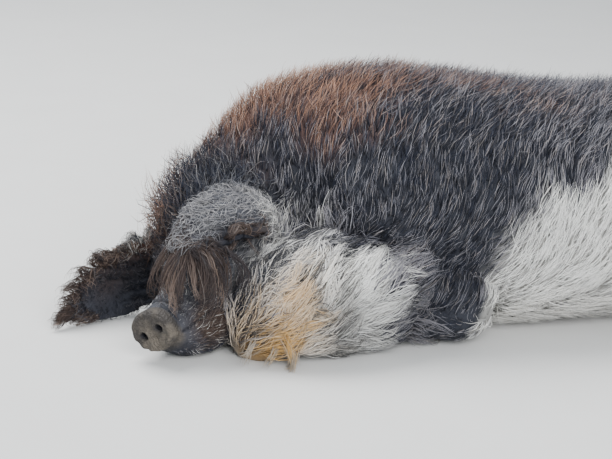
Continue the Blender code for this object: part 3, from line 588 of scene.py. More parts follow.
def sculpt_head(obj, depth):
    """Presses mouth line, nostrils, snout folds, eye slits and the left ear's opening into the skin."""
    mesh = obj.data
    places = vertex_places(mesh)
    normals = np.empty(len(mesh.vertices) * 3)
    mesh.vertices.foreach_get("normal", normals)
    normals = normals.reshape(-1, 3)
    back, left, up = head_place(places).T
    forward = HEAD_AXES[0]

    # Folds over the snout behind the disc.
    fold = np.zeros(len(places))
    for spot, size, breadth in SNOUT_FOLDS:
        fold += size * 0.001 * bell(fold_place(back, left, spot), breadth)
    fold *= ease(-0.030, 0.005, up) * ease(0.11, 0.08, back)

    # Mouth line, rising a little to its corner.
    rise = mouth_rise(back)
    in_mouth = ease(0, 0.03, MOUTH_CORNER - back)
    lip = -0.0050 * bell(up - rise, 0.0030) * ease(0.0, 0.02, back - 0.012) * in_mouth
    swell = 0.0030 * bell(up - rise - 0.012, 0.008) * ease(0.0, 0.02, back - 0.02) * in_mouth
    in_face = ease(0.30, 0.20, back) * (np.abs(left) < 0.15)

    # Slack folds of cheek and brow.
    slack = 0.0026 * np.sin((back + up * 1.6) * 2 * math.pi / 0.034) * ease(0.08, 0.14, back)
    slack = slack * ease(0.30, 0.24, back)
    height = fold + (lip + swell) * in_face + slack * in_face * ease(0.0, 0.03, np.abs(left))
    move = normals * (height * depth)[:, None]
    move -= normals * (0.020 * blob(places, EAR_OPENING - EAR_DROP / 2, 0.020))[:, None]

    # Nostrils and the rim of the disc.
    for side in (-1, 1):
        away = np.hypot((left - side * NOSTRIL_ASIDE) / 0.85, up - DISC_RISE)
        hole = ease(NOSTRIL_RADIUS, 0.0045, away) * ease(0.012, 0.004, back)
        ridge = 0.0014 * bell(away - 0.0105, 0.0022) * ease(0.010, 0.003, back)
        move += forward * (ridge - 0.011 * hole)[:, None]
    face = ease(0.006, 0.001, back)
    dish = 0.0026 * np.exp(-((left / 0.020) ** 2) - (((up + 0.004) / 0.019) ** 2))
    groove = 0.0016 * bell(left, 0.0022) * ease(0.004, -0.010, up)
    out = np.hypot(left / DISC_HALF, (up - DISC_RISE) / DISC_DOWN)
    notches = 0.5 + 0.5 * np.sin(np.arctan2(up, left) * 17 + 2 * np.sin(left * 160))
    rim = 0.0018 * bell(out - 0.86, 0.10) - 0.0012 * notches * bell(out - 1.0, 0.08)
    pebbles = 0.0012 * ripple(places, 0.0085, 41) + 0.0006 * ripple(places, 0.0038, 42)
    move += forward * ((rim - dish - groove) * face + pebbles * ease(0.020, 0.008, back))[:, None]
    places = places + move

    # Lids: clear of the eyeball except in the slit.
    for side in (1, -1):
        centre = np.array(eye_place(side))
        offset = places - centre
        away = np.linalg.norm(offset, axis=1)
        local = offset @ HEAD_AXES.T
        ahead, aside, high = -local[:, 0], local[:, 1] * side, local[:, 2]
        near = (away < LID_REACH) & (aside > -0.002)
        slit_half = 0.0042 * (1 - (ahead / EYE_RADIUS) ** 2)
        slit = near & (np.abs(high + 0.001) < slit_half) & (np.abs(ahead) < EYE_RADIUS)
        lid = near & ~slit & (away < EYE_RADIUS + LID_THICK)
        ways = unit(offset)
        places[lid] = centre + ways[lid] * (EYE_RADIUS + LID_THICK)
        places[slit] = centre + ways[slit] * (EYE_RADIUS - 0.0025)
        crease = near & (away > EYE_RADIUS + 0.004)
        ring = 0.0012 * np.sin(away * 2 * math.pi / 0.0065) * ease(LID_REACH, 0.018, away)
        places[crease] += (ways * ring[:, None])[crease]

    # Flat where the body rests.
    places[:, 2] = np.maximum(places[:, 2], 0.0)
    mesh.vertices.foreach_set("co", places.ravel())
    mesh.update()


def part_labels(points, trees):
    """The number of the part that each point lies on."""
    labels = np.zeros(len(points), dtype=np.int32)
    for number, name in enumerate(PARTS):
        if name == "trunk":
            continue
        tree, low, high = trees[name]
        inside = np.all((points > low - LABEL_REACH) & (points < high + LABEL_REACH), axis=1)
        for index in np.flatnonzero(inside):
            if tree.find_nearest(points[index], LABEL_REACH)[0] is not None:
                labels[index] = number
    return labels


def add_markings(mesh, places):
    """Stores the shares of each marking on the mesh's points."""
    for name, share in MARKINGS.items():
        store(mesh, name, share(places))


def build_skin(settings):
    made = forms()
    trees = {}
    whole = bmesh.new()
    for name, shells in made.items():
        part = bmesh.new()
        for shell in shells:
            spare = bpy.data.meshes.new("spare")
            shell.to_mesh(spare)
            shell.free()
            part.from_mesh(spare)
            whole.from_mesh(spare)
            bpy.data.meshes.remove(spare)
        places = np.array([vert.co[:] for vert in part.verts])
        trees[name] = (BVHTree.FromBMesh(part), places.min(axis=0), places.max(axis=0))
        part.free()
    mesh = bpy.data.meshes.new("skin")
    whole.to_mesh(mesh)
    whole.free()
    skin = new_object("skin", mesh)
    apply_modifier(skin, "REMESH", mode="VOXEL", voxel_size=settings.cell)
    apply_modifier(skin, "SMOOTH", factor=0.5, iterations=4)
    refine(skin)
    apply_modifier(skin, "SMOOTH", factor=0.5, iterations=1)
    sculpt_head(skin, settings.fold_depth)
    count = sum(len(face.vertices) - 2 for face in skin.data.polygons)
    apply_modifier(skin, "DECIMATE", ratio=min(1.0, MOST_TRIANGLES / count))
    mesh = skin.data
    mesh.polygons.foreach_set("use_smooth", [True] * len(mesh.polygons))
    centres = np.empty(len(mesh.polygons) * 3)
    mesh.polygons.foreach_get("center", centres)
    labels = part_labels(centres.reshape(-1, 3), trees)
    mesh.attributes.new("part", "INT", "FACE").data.foreach_set("value", labels)
    add_markings(mesh, vertex_places(mesh))
    unwrap(skin)
    return skin


def unwrap(skin):
    """Lays the skin out flat, and the coat's tufts take their place on that map."""
    bpy.ops.object.select_all(action="DESELECT")
    skin.select_set(True)
    bpy.context.view_layer.objects.active = skin
    skin.data.uv_layers.new(name="OFBake")
    bpy.ops.object.mode_set(mode="EDIT")
    bpy.ops.mesh.select_all(action="SELECT")
    bpy.ops.uv.smart_project(angle_limit=math.radians(66), island_margin=0.002)
    bpy.ops.object.mode_set(mode="OBJECT")


# Coat.

class Ground:
    """The skin as arrays and as a tree for the nearest point."""

    def __init__(self, skin):
        mesh = skin.data
        mesh.calc_loop_triangles()
        count = len(mesh.loop_triangles)
        self.places = vertex_places(mesh)
        corners = np.empty(count * 3, dtype=np.int64)
        mesh.loop_triangles.foreach_get("vertices", corners)
        self.corners = corners.reshape(-1, 3)
        loops = np.empty(count * 3, dtype=np.int64)
        mesh.loop_triangles.foreach_get("loops", loops)
        faces = np.empty(count, dtype=np.int64)
        mesh.loop_triangles.foreach_get("polygon_index", faces)
        labels = np.empty(len(mesh.polygons), dtype=np.int32)
        mesh.attributes["part"].data.foreach_get("value", labels)
        self.labels = labels[faces]
        flat = np.empty(len(mesh.loops) * 2)
        mesh.uv_layers["OFBake"].data.foreach_get("uv", flat)
        self.uv = flat.reshape(-1, 2)[loops.reshape(-1, 3)]
        a, b, c = (self.places[self.corners[:, n]] for n in range(3))
        cross = np.cross(b - a, c - a)
        self.area = np.linalg.norm(cross, axis=1) / 2
        self.normals = unit(cross)
        self.middle = (a + b + c) / 3
        self.tree = BVHTree.FromPolygons(self.places.tolist(), self.corners.tolist())

    def nearest(self, points):
        """The nearest points of the skin and its normals there."""
        spots, normals = np.empty_like(points), np.empty_like(points)
        for number, point in enumerate(points.tolist()):
            spot, normal, _, _ = self.tree.find_nearest(point)
            spots[number] = spot
            normals[number] = normal
        return spots, normals

    def sow(self, parts, count, draw, thin=None):
        """Random roots on some parts: places, normals, places on the map and the part's number."""
        numbers = [PARTS.index(name) for name in parts]
        weight = self.area * np.isin(self.labels, numbers)
        weight = weight * ((self.middle[:, 2] > 0.012) | (self.normals[:, 2] > -0.3))
        if thin is not None:
            weight = weight * thin(self.middle, self.labels)
        chosen = draw.choice(len(weight), size=count, p=weight / weight.sum())
        u, v = draw.random(count), draw.random(count)
        fold = u + v > 1
        u, v = np.where(fold, 1 - u, u)[:, None], np.where(fold, 1 - v, v)[:, None]
        a, b, c = (self.places[self.corners[chosen, n]] for n in range(3))
        roots = a + (b - a) * u + (c - a) * v
        a, b, c = (self.uv[chosen, n] for n in range(3))
        return roots, self.normals[chosen], a + (b - a) * u + (c - a) * v, self.labels[chosen]


THROAT = np.array((-0.485, -0.195, 0.010))


def ruff_flow(points, normals):
    """Fanning out from the throat, back and up, alike on both sides."""
    side = np.where(points[:, 1:2] > 0, -1.0, 1.0)
    mirror = np.concatenate((np.ones_like(side), side, np.ones_like(side)), axis=1)
    return (unit(points * mirror - THROAT) + np.array([[0.15, 0.0, 0.35]])) * mirror


def trunk_flow(points, normals):
    """Back along the body and up towards the spine, steeper on the mid flank, and fanning out by the ruff."""
    x, y, z = points.T
    slope = np.degrees(np.arcsin(np.clip(normals[:, 2], -1, 1)))
    lean = np.radians(52 + 26 * ease(-20, 15, slope) - 45 * ease(30, 75, slope))[:, None]
    spine = tangent(np.array([[0.0, 0.0, 1.0]]), normals)
    body = np.cos(lean) * np.array([[1.0, 0.0, 0.0]]) + np.sin(lean) * spine * 1.2
    near = (ease(0.27, 0.17, z) * ease(-0.12, -0.20, x) * ease(0.08, 0.12, np.abs(y)))[:, None]
    return body * (1 - near) + ruff_flow(points, normals) * near


def head_flow(points, normals):
    """Back from the snout, and up over the cheeks."""
    back, left, up = head_place(points).T
    rise = (0.55 * ease(0.05, 0.16, back) * ease(0.06, -0.02, up))[:, None]
    return -HEAD_AXES[0] + rise * HEAD_AXES[2]


def line_flow(joints):
    """A flow along a chain of joints, from the first to the last."""
    places = [np.array(MIDDLE + Vector(joint[:3])) for joint in joints]

    def flow(points, normals):
        best = np.full(len(points), 1e9)
        ways = np.zeros_like(points)
        for a, b in zip(places, places[1:]):
            way = b - a
            share = np.clip((points - a) @ way / (way @ way), 0, 1)
            away = np.linalg.norm(points - a - share[:, None] * way, axis=1)
            closer = away < best
            best[closer] = away[closer]
            ways[closer] = way / np.linalg.norm(way)
        return ways
    return flow


def limb_flow(name):
    """Down the leg, and with the trunk's hair where the limb joins it."""
    down = line_flow(leg_joints(name)[1:])

    def flow(points, normals):
        high = upper_share(points)[:, None]
        return down(points, normals) * (1 - high) + trunk_flow(points, normals) * high
    return flow


def upper_share(points):
    """1 high on a limb, where it carries the trunk's long hair."""
    x, y, z = points.T
    thigh = ease(0.085, 0.120, z) * ease(-0.02, 0.10, x)
    elbow = ease(0.045, 0.080, z) * ease(0.02, -0.01, x)
    return np.maximum(thigh, elbow)


def ear_flow(name):
    stations = [ear_station(name, n / 12) for n in range(13)]
    joints = [Joint(*(station[0] - MIDDLE), 0) for station in stations]
    return line_flow(joints)


FLOWS = {"trunk": trunk_flow, "ruff": ruff_flow, "head": head_flow, "tail": line_flow(TAIL),
         "ear_left": ear_flow("ear_left"), "ear_right": ear_flow("ear_right")}
FLOWS.update({name: limb_flow(name) for name in LEGS})


def flow_at(points, normals, labels):
    """The lie of the hair at points of the skin."""
    ways = np.zeros_like(points)
    for number in np.unique(labels):
        here = labels == number
        ways[here] = FLOWS[PARTS[number]](points[here], normals[here])
    return unit(tangent(ways, normals) + 1e-6)


def combed(ground, roots, normals, labels, rings, length, stand, stray, draw):
    """Lines of hair that follow the skin at a rising height."""
    count = len(roots)
    lines = np.empty((count, rings + 1, 3))
    ups = np.empty((count, rings + 1, 3))
    lines[:, 0] = roots - normals * ROOT_DEPTH
    ups[:, 0] = normals
    turn = draw.normal(0, 1, count) * stray + 0.30 * ripple(roots, 0.045, 11)
    here, normal = roots, normals
    for ring in range(1, rings + 1):
        share = ring / rings
        way = flow_at(here, normal, labels)
        side = np.cross(normal, way)
        way = way * np.cos(turn)[:, None] + side * np.sin(turn)[:, None]
        reach = (length / rings * np.sqrt(np.maximum(0.05, 1 - (stand / length) ** 2)))[:, None]
        here, normal = ground.nearest(here + way * reach)
        lines[:, ring] = here + normal * (stand * share ** 0.75)[:, None]
        ups[:, ring] = normal
    return lines, ups


def gathered(lines, locks, pull, draw):
    """Draws lines towards the middle lines of their locks, most at the tips."""
    count, rings = lines.shape[:2]
    heads = draw.choice(count, size=max(1, count // locks), replace=False)
    tree = KDTree(len(heads))
    for number, head in enumerate(heads):
        tree.insert(lines[head, 0], number)
    tree.balance()
    owner = heads[[tree.find(place)[1] for place in lines[:, 0].tolist()]]
    share = (np.linspace(0, 1, rings) ** 1.6)[None, :, None] * pull
    return lines + (lines[owner] - lines) * share


def curled(lines, ups, size, turns, draw):
    """Winds each line in a loose spiral that opens towards its tip."""
    count, rings = lines.shape[:2]
    ways = unit(np.gradient(lines, axis=1))
    sides = unit(np.cross(ups, ways))
    share = np.linspace(0, 1, rings)[None]
    phase = draw.random(count)[:, None] * 2 * math.pi + share * (turns * 2 * math.pi)[:, None]
    grow = share ** 0.7 * size[:, None]
    return lines + sides * (np.cos(phase) * grow)[..., None] + ups * (np.sin(phase) * grow * 0.6)[..., None]


def tuft_mesh(name, lines, ups, width, uv, tone):
    """One mesh of closed, three-sided, tapered tufts, each laid out as a small patch at its root."""
    count, points = lines.shape[:2]
    rings = points - 1
    ways = unit(np.gradient(lines, axis=1))
    sides = unit(np.cross(ups, ways))
    tops = np.cross(ways, sides)
    share = np.linspace(0, 1, points)
    swell = 0.75 + 0.25 * np.sin(math.pi * np.minimum(1, share[:rings] * 2))
    taper = np.sqrt(np.clip(1 - share ** 1.5, 0, 1))[:rings] * swell
    half = (width[:, None] / 2 * taper)[..., None]
    deep = (width[:, None] * TUFT_FLAT * taper)[..., None]
    body, aside, above = lines[:, :rings], sides[:, :rings] * half, tops[:, :rings] * deep
    corners = np.stack((body + aside, body + above, body - aside), axis=2)
    verts = np.concatenate((corners.reshape(count, rings * 3, 3), lines[:, rings:]), axis=1)
    verts[..., 2] = np.maximum(verts[..., 2], FLOOR_CLEAR + FLOOR_LIFT * floor_share(verts))
    stride = rings * 3 + 1

    faces = []
    for ring in range(rings - 1):
        for side in range(3):
            other = (side + 1) % 3
            faces.append((ring * 3 + side, ring * 3 + other, ring * 3 + 3 + other, ring * 3 + 3 + side))
    for side in range(3):
        faces.append((rings * 3 - 3 + side, rings * 3 - 3 + (side + 1) % 3, rings * 3))
    faces.append((0, 2, 1))
    pattern = np.concatenate([np.array(face) for face in faces])
    sizes = np.array([len(face) for face in faces])

    mesh = bpy.data.meshes.new(name)
    mesh.vertices.add(count * stride)
    mesh.vertices.foreach_set("co", verts.ravel())
    index = (pattern[None] + (np.arange(count) * stride)[:, None]).ravel()
    mesh.loops.add(len(index))
    mesh.loops.foreach_set("vertex_index", index)
    starts = np.concatenate(([0], np.cumsum(np.tile(sizes, count))[:-1]))
    mesh.polygons.add(len(starts))
    mesh.polygons.foreach_set("loop_start", starts)
    mesh.update(calc_edges=True)
    mesh.polygons.foreach_set("use_smooth", np.ones(len(starts), dtype=bool))

    along_tuft = np.concatenate((np.repeat(share[:rings], 3), [1.0]))
    across_tuft = np.concatenate((np.tile((0.0, 0.5, 1.0), rings), [0.5]))
    patch = PATCH * (np.column_stack((across_tuft, along_tuft)) - 0.5)
    flat = (uv[:, None, :] + patch[None]).reshape(-1, 2)[index]
    mesh.uv_layers.new(name="OFBake").data.foreach_set("uv", flat.ravel())
    store(mesh, "tip", np.tile(along_tuft, count))
    store(mesh, "tone", np.repeat(tone, stride))
    return mesh, stride


def floor_share(verts):
    """A share from 0 to 1 that varies along the floor, so that hair on it doesn't lie in one plane."""
    return 0.5 + 0.5 * np.sin(verts[..., 0] * 997.0 + verts[..., 1] * 661.0)


def store(mesh, name, values):
    mesh.attributes.new(name, "FLOAT", "POINT").data.foreach_set("value", values.astype(np.float32))


def lay_coat(name, lines, ups, roots, width, uv, draw, material, tone=None, marks=None):
    """Makes the coat pieces of one group, cut along the body so that none has too many faces."""
    count = len(roots)
    tone = draw.random(count) if tone is None else tone
    odd = draw.random(count)
    shares = {marking: share(roots) for marking, share in MARKINGS.items()}
    for marking, value in (marks or {}).items():
        shares[marking] = np.full(count, value)
    each = (lines.shape[1] - 2) * 6 + 4
    pieces = max(1, math.ceil(len(lines) * each / MOST_TRIANGLES))
    order = np.argsort(roots[:, 0])
    for number, rows in enumerate(np.array_split(order, pieces)):
        label = name if pieces == 1 else "%s_%d" % (name, number + 1)
        mesh, stride = tuft_mesh(label, lines[rows], ups[rows], width[rows], uv[rows], tone[rows])
        store(mesh, "odd", np.repeat(odd[rows], stride))
        for marking, values in shares.items():
            store(mesh, marking, np.repeat(values[rows], stride))
        mesh.materials.append(material)
        piece = new_object(label, mesh)
        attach(piece, "root")


# Materials.

class Value:
    """A socket of a shader node that can stand in sums."""

    def __init__(self, tree, socket):
        self.tree = tree
        self.socket = socket

    def math(self, operation, *others):
        return self.tree.node("ShaderNodeMath", dict(operation=operation), (self,) + others)

    def __add__(self, other):
        return self.math("ADD", other)

    def __mul__(self, other):
        return self.math("MULTIPLY", other)

    def __sub__(self, other):
        return self.math("SUBTRACT", other)

    def __rsub__(self, other):
        return self.tree.node("ShaderNodeMath", dict(operation="SUBTRACT"), (other, self))

    __radd__ = __add__
    __rmul__ = __mul__


class Tree:
    """The nodes of one material."""

    def __init__(self, name):
        self.material = bpy.data.materials.new(name)
        self.material.use_nodes = True
        self.nodes = self.material.node_tree.nodes
        self.links = self.material.node_tree.links
        self.shader = self.nodes["Principled BSDF"]

    def node(self, kind, settings=None, inputs=(), output=0):
        """Adds a node: its settings first, then the values or links of its sockets."""
        made = self.nodes.new(kind)
        for name, value in (settings or {}).items():
            setattr(made, name, value)
        pairs = inputs.items() if isinstance(inputs, dict) else enumerate(inputs)
        for key, value in pairs:
            self.feed(made.inputs[key], value)
        return Value(self, made.outputs[output])

    def feed(self, socket, value):
        if isinstance(value, Value):
            self.links.new(value.socket, socket)
        else:
            socket.default_value = value

    def mix(self, share, first, second):
        """Two colours, mixed."""
        made = self.nodes.new("ShaderNodeMix")
        made.data_type = "RGBA"
        for key, value in ((0, share), (6, first), (7, second)):
            self.feed(made.inputs[key], value)
        return Value(self, made.outputs[2])

    def share(self, name):
        return self.node("ShaderNodeAttribute", dict(attribute_name=name), output=2)

    def ramp(self, value, low, high):
        """0 below low and 1 above high."""
        return self.node("ShaderNodeMapRange", {}, {"Value": value, "From Min": low, "From Max": high})

    def place(self):
        """Object coordinates."""
        return self.node("ShaderNodeTexCoord", output=3)

    def noise(self, scale, detail=3.0):
        return self.node("ShaderNodeTexNoise", {}, {"Vector": self.place(), "Scale": scale, "Detail": detail})

    def bump(self, height, strength, distance):
        return self.node("ShaderNodeBump", {}, {"Height": height, "Strength": strength, "Distance": distance})

    def finish(self, **sockets):
        for name, value in sockets.items():
            self.feed(self.shader.inputs[name.replace("_", " ")], value)
        return self.material


def solid(colour):
    return (*colour, 1.0)


def hair_material(settings):
    """Hair: its colour by the markings, pale hair darkened at the root as painted shade deep in the coat,
    paler or redder towards the tip.
    """
    tree = Tree("hair")
    tip, tone, odd = tree.share("tip"), tree.share("tone"), tree.share("odd")

    def patchy(name):
        """A marking whose edge runs between the tufts."""
        return tree.ramp(tree.share(name) + (odd - 0.5) * 0.8, 0.30, 0.70)

    fine = tree.noise(60.0)
    silver = tree.ramp(tone + tree.share("grizzle") * 0.30, 0.60, 0.95) * tree.ramp(tip, 0.15, 0.65)
    colour = tree.mix(tree.ramp(fine, 0.35, 0.7), solid(settings.dark), solid(settings.navy))
    colour = tree.mix(silver * 0.8, colour, solid(settings.silver))
    brown = tree.mix(tone * tree.ramp(tip, 0.0, 0.8), solid(settings.brown), solid(settings.brown_light))
    colour = tree.mix(patchy("brown") * 0.9, colour, brown)
    rust = tree.mix(tone, solid(settings.rust), solid(settings.rust_light))
    colour = tree.mix(patchy("rust") * tree.ramp(tip + tone * 0.3, 0.25, 0.85), colour, rust)
    grey = tree.mix(tone, solid(settings.slate), solid(settings.slate_light))
    colour = tree.mix(patchy("slate") * (1 - tree.share("brown") * 0.8), colour, grey)
    cream = tree.mix(tone, solid(settings.cream), solid(settings.white))
    cream = tree.mix(tree.share("stain") * tree.ramp(tone, -0.6, 0.5), cream, solid(settings.stain))
    cream = tree.mix(tree.ramp(odd, 0.80, 0.95) * 0.5, cream, solid(settings.slate_light))
    cream = tree.mix(tree.ramp(tone, 0.40, 0.05) * 0.75, cream, solid(settings.shade))
    # Pale hair darkened towards its root: painted shade deep in the coat.
    cream = tree.mix(tree.ramp(tip, 0.40, 0.0) * 0.58, cream, solid(settings.slate))
    colour = tree.mix(patchy("pale"), colour, cream)
    # Painted shade in hollows, under the left ear, between the ruff's locks and by the floor, and some dark
    # hair, mixed towards the dark.
    colour = tree.mix(tree.share("dark_and_shade") * 0.97, colour, solid(settings.dark))
    rough = 0.60 - tree.share("pale") * 0.10
    tree.shader.inputs["Specular IOR Level"].default_value = 0.25
    return tree.finish(Base_Color=colour, Roughness=rough)


def skin_material(settings):
    """Hide: slate grey, pale under the pale coat, sandy and pebbled on the snout disc."""
    tree = Tree("hide")
    mottle = tree.noise(45.0, 5.0)
    dark = tree.mix(mottle * 0.4, solid(settings.dark), solid(settings.slate))
    face = tree.mix(mottle * 0.4, solid(settings.slate), solid(settings.slate_light))
    colour = tree.mix(tree.share("slate") * 0.30, dark, face)
    colour = tree.mix(tree.share("brown") * 0.7, colour, solid(settings.brown))
    colour = tree.mix(tree.share("rust") * 0.7, colour, solid(settings.rust))
    pale = tree.mix(tree.share("stain"), solid(settings.cream), solid(settings.stain))
    colour = tree.mix(tree.share("pale") * 0.45, colour, pale)
    sand = tree.mix(tree.noise(120.0, 4.0), solid(settings.snout), solid(settings.snout_sand))
    dust = tree.mix(tree.ramp(tree.noise(28.0, 5.0), 0.42, 0.62), solid(settings.snout), sand)
    colour = tree.mix(tree.share("snout"), colour, dust)
    # Painted shade in the left ear's opening and under that ear, in the nostrils, along the mouth line and in
    # the snout folds.
    colour = tree.mix(tree.share("dark_and_shade"), colour, solid(settings.dark))
    wrinkles = tree.noise(90.0, 6.0)
    pebbles = tree.node("ShaderNodeTexVoronoi", {}, {"Vector": tree.place(), "Scale": 260.0})
    short = tree.noise(420.0, 3.0)
    height = wrinkles + pebbles * tree.share("snout") * 1.4 + short * 0.5
    tree.shader.inputs["Specular IOR Level"].default_value = 0.25
    return tree.finish(Base_Color=colour, Roughness=0.80 - mottle * 0.2, Normal=tree.bump(height, 0.8, 0.003))


def eye_material(name, side):
    """A dark brown eye with a round pupil that looks out to the side."""
    tree = Tree(name)
    centre = eye_place(side)
    gaze = (HEAD_TURN @ Vector((0.25, side * 0.97, 0.0))).normalized()
    offset = tree.node("ShaderNodeVectorMath", dict(operation="SUBTRACT"), (tree.place(), tuple(centre)))
    facing = tree.node("ShaderNodeVectorMath", dict(operation="DOT_PRODUCT"), (offset, tuple(gaze)), 1)
    facing = facing * (1 / EYE_RADIUS)
    streaks = tree.noise(900.0)
    iris = tree.mix(streaks, (0.030, 0.013, 0.006, 1), (0.085, 0.040, 0.018, 1))
    white = tree.mix(tree.noise(300.0), (0.30, 0.20, 0.17, 1), (0.42, 0.34, 0.30, 1))
    colour = tree.mix(tree.ramp(facing, 0.60, 0.66), white, iris)
    colour = tree.mix(tree.ramp(facing, 0.90, 0.92), colour, (0.004, 0.004, 0.005, 1))
    tree.shader.inputs["Coat Weight"].default_value = 1.0
    tree.shader.inputs["Coat Roughness"].default_value = 0.03
    return tree.finish(Base_Color=colour, Roughness=0.25)


def horn_material():
    """Dark claw horn with growth rings and a dusty, worn tip."""
    tree = Tree("claw_horn")
    bands = tree.node("ShaderNodeTexWave", dict(bands_direction="X"),
                      {"Vector": tree.place(), "Scale": 60.0, "Distortion": 2.5, "Detail": 2.0})
    colour = tree.mix(tree.noise(70.0), (0.035, 0.030, 0.027, 1), (0.16, 0.13, 0.10, 1))
    colour = tree.mix(tree.ramp(tree.noise(25.0), 0.5, 0.75) * 0.6, colour, (0.32, 0.28, 0.23, 1))
    return tree.finish(Base_Color=colour, Roughness=0.45 + bands * 0.2, Normal=tree.bump(bands, 0.4, 0.0008))


# Settings.

def colour_of(name, description, default):
    return FloatVectorProperty(name=name, description=description, default=default, size=3, min=0.0, max=1.0,
                               subtype="COLOR")


def tufts_of(part, default):
    return IntProperty(name="Tufts of " + part, description="Number of tufts on the " + part, min=1,
                       default=default)


class PigSkinSettings(bpy.types.PropertyGroup):
    cell: FloatProperty(name="Cell", description="Size of the cells the skin is formed in", default=0.003,
                        min=0.002, unit="LENGTH")
    fold_depth: FloatProperty(name="Fold depth", description="Depth of the folds against the usual",
                              default=1.0, subtype="FACTOR")


class PigCoatSettings(bpy.types.PropertyGroup):
    trunk_tufts: tufts_of("trunk", 43000)
    ruff_tufts: tufts_of("ruff", 6000)
    head_tufts: tufts_of("head", 8600)
    ear_tufts: tufts_of("ears", 5600)
    limb_tufts: tufts_of("limbs", 6400)
    length: FloatProperty(name="Length", description="Length of the flank hair", default=0.042, unit="LENGTH")
    width: FloatProperty(name="Width", description="Width of a flank tuft", default=0.0022, unit="LENGTH")
    dark: colour_of("Dark", "Black of back and sides", (0.013, 0.014, 0.020))
    navy: colour_of("Blue black", "Cool black of the sides", (0.025, 0.030, 0.050))
    silver: colour_of("Silver", "Light hairs among the dark", (0.36, 0.35, 0.38))
    brown: colour_of("Brown", "Hair of forehead, cheek patch and ear fringe", (0.042, 0.026, 0.020))
    brown_light: colour_of("Light brown", "Palest hair of the ear fringe", (0.27, 0.19, 0.145))
    rust: colour_of("Rust", "Sun-bleached hair of the crest", (0.13, 0.060, 0.038))
    rust_light: colour_of("Light rust", "Palest tips of the crest", (0.46, 0.255, 0.165))
    slate: colour_of("Slate", "Grey of cheek and ear", (0.068, 0.075, 0.096))
    slate_light: colour_of("Light slate", "Palest grey of cheek and ear", (0.40, 0.39, 0.39))
    cream: colour_of("Cream", "Hair of belly and ruff", (0.82, 0.80, 0.74))
    shade: colour_of("Shade", "Darkest hair of belly and ruff", (0.27, 0.25, 0.22))
    white: colour_of("White", "Palest hair of belly and ruff", (0.95, 0.95, 0.93))
    stain: colour_of("Stain", "Earth stain in the ruff", (0.58, 0.35, 0.12))
    snout: colour_of("Snout", "Bare skin of the snout disc", (0.045, 0.040, 0.037))
    snout_sand: colour_of("Sandy snout", "Dry sand on the snout disc", (0.17, 0.145, 0.115))


class PigStageSettings(bpy.types.PropertyGroup):
    lens: FloatProperty(name="Lens", description="Focal length on a 36 mm wide frame", default=113.5)
    floor: colour_of("Floor", "Plain pale floor", (0.62, 0.62, 0.61))
    light: FloatProperty(name="Light", description="Power of the large soft light", default=240.0,
                         unit="POWER")


# Operators.

class PIG_OT_skin(bpy.types.Operator):
    """Build the skin over the flesh of the frame"""
    bl_idname = "pig.skin"
    bl_label = "Skin"

    def execute(self, context):
        skin = build_skin(context.scene.pig_skin)
        skin.data.materials.append(skin_material(context.scene.pig_coat))
        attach(skin, "root")
        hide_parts(*FLESH)
        return {"FINISHED"}


class PIG_OT_eyes(bpy.types.Operator):
    """Build the two eyeballs"""
    bl_idname = "pig.eyes"
    bl_label = "Eyes"

    def execute(self, context):
        for name, side in (("eye_left", 1), ("eye_right", -1)):
            bm = ball_form(eye_place(side), (EYE_RADIUS - 0.0003,) * 3, 36)
            mesh = bpy.data.meshes.new(name + "_ball")
            bm.to_mesh(mesh)
            bm.free()
            mesh.polygons.foreach_set("use_smooth", [True] * len(mesh.polygons))
            mesh.materials.append(eye_material(name + "_finish", side))
            ball = new_object(name + "_ball", mesh)
            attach(ball, "root")
            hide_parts(name)
        return {"FINISHED"}


class PIG_OT_claws(bpy.types.Operator):
    """Build the claws and dewclaws from their solids"""
    bl_idname = "pig.claws"
    bl_label = "Claws"

    def execute(self, context):
        horn = horn_material()
        for name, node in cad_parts.items():
            if "claw" not in name:
                continue
            bm = bmesh.new()
            bm.from_mesh(node.data)
            bmesh.ops.remove_doubles(bm, verts=bm.verts, dist=0.00001)
            bmesh.ops.subdivide_edges(bm, edges=bm.edges, cuts=1, use_grid_fill=True, smooth=0.6)
            bmesh.ops.recalc_face_normals(bm, faces=bm.faces)
            for vert in bm.verts:
                vert.co.z = max(vert.co.z, 0.0)
            mesh = bpy.data.meshes.new(name + "_horn")
            bm.to_mesh(mesh)
            bm.free()
            mesh.polygons.foreach_set("use_smooth", [True] * len(mesh.polygons))
            mesh.materials.append(horn)
            piece = new_object(name + "_horn", mesh)
            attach(piece, "root")
            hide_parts(name)
        return {"FINISHED"}


class PIG_OT_coat(bpy.types.Operator):
    """Sow, comb and curl the coat over the skin"""
    bl_idname = "pig.coat"
    bl_label = "Coat"

    def execute(self, context):
        settings = context.scene.pig_coat
        ground = Ground(bpy.data.objects["skin"])
        material = hair_material(settings)
        for coat in (trunk_coat, ruff_coat, head_coat, ear_coat, limb_coat, whiskers, ear_fringes,
                     throat_tassel, conch_hair):
            coat(ground, settings, material)
        return {"FINISHED"}


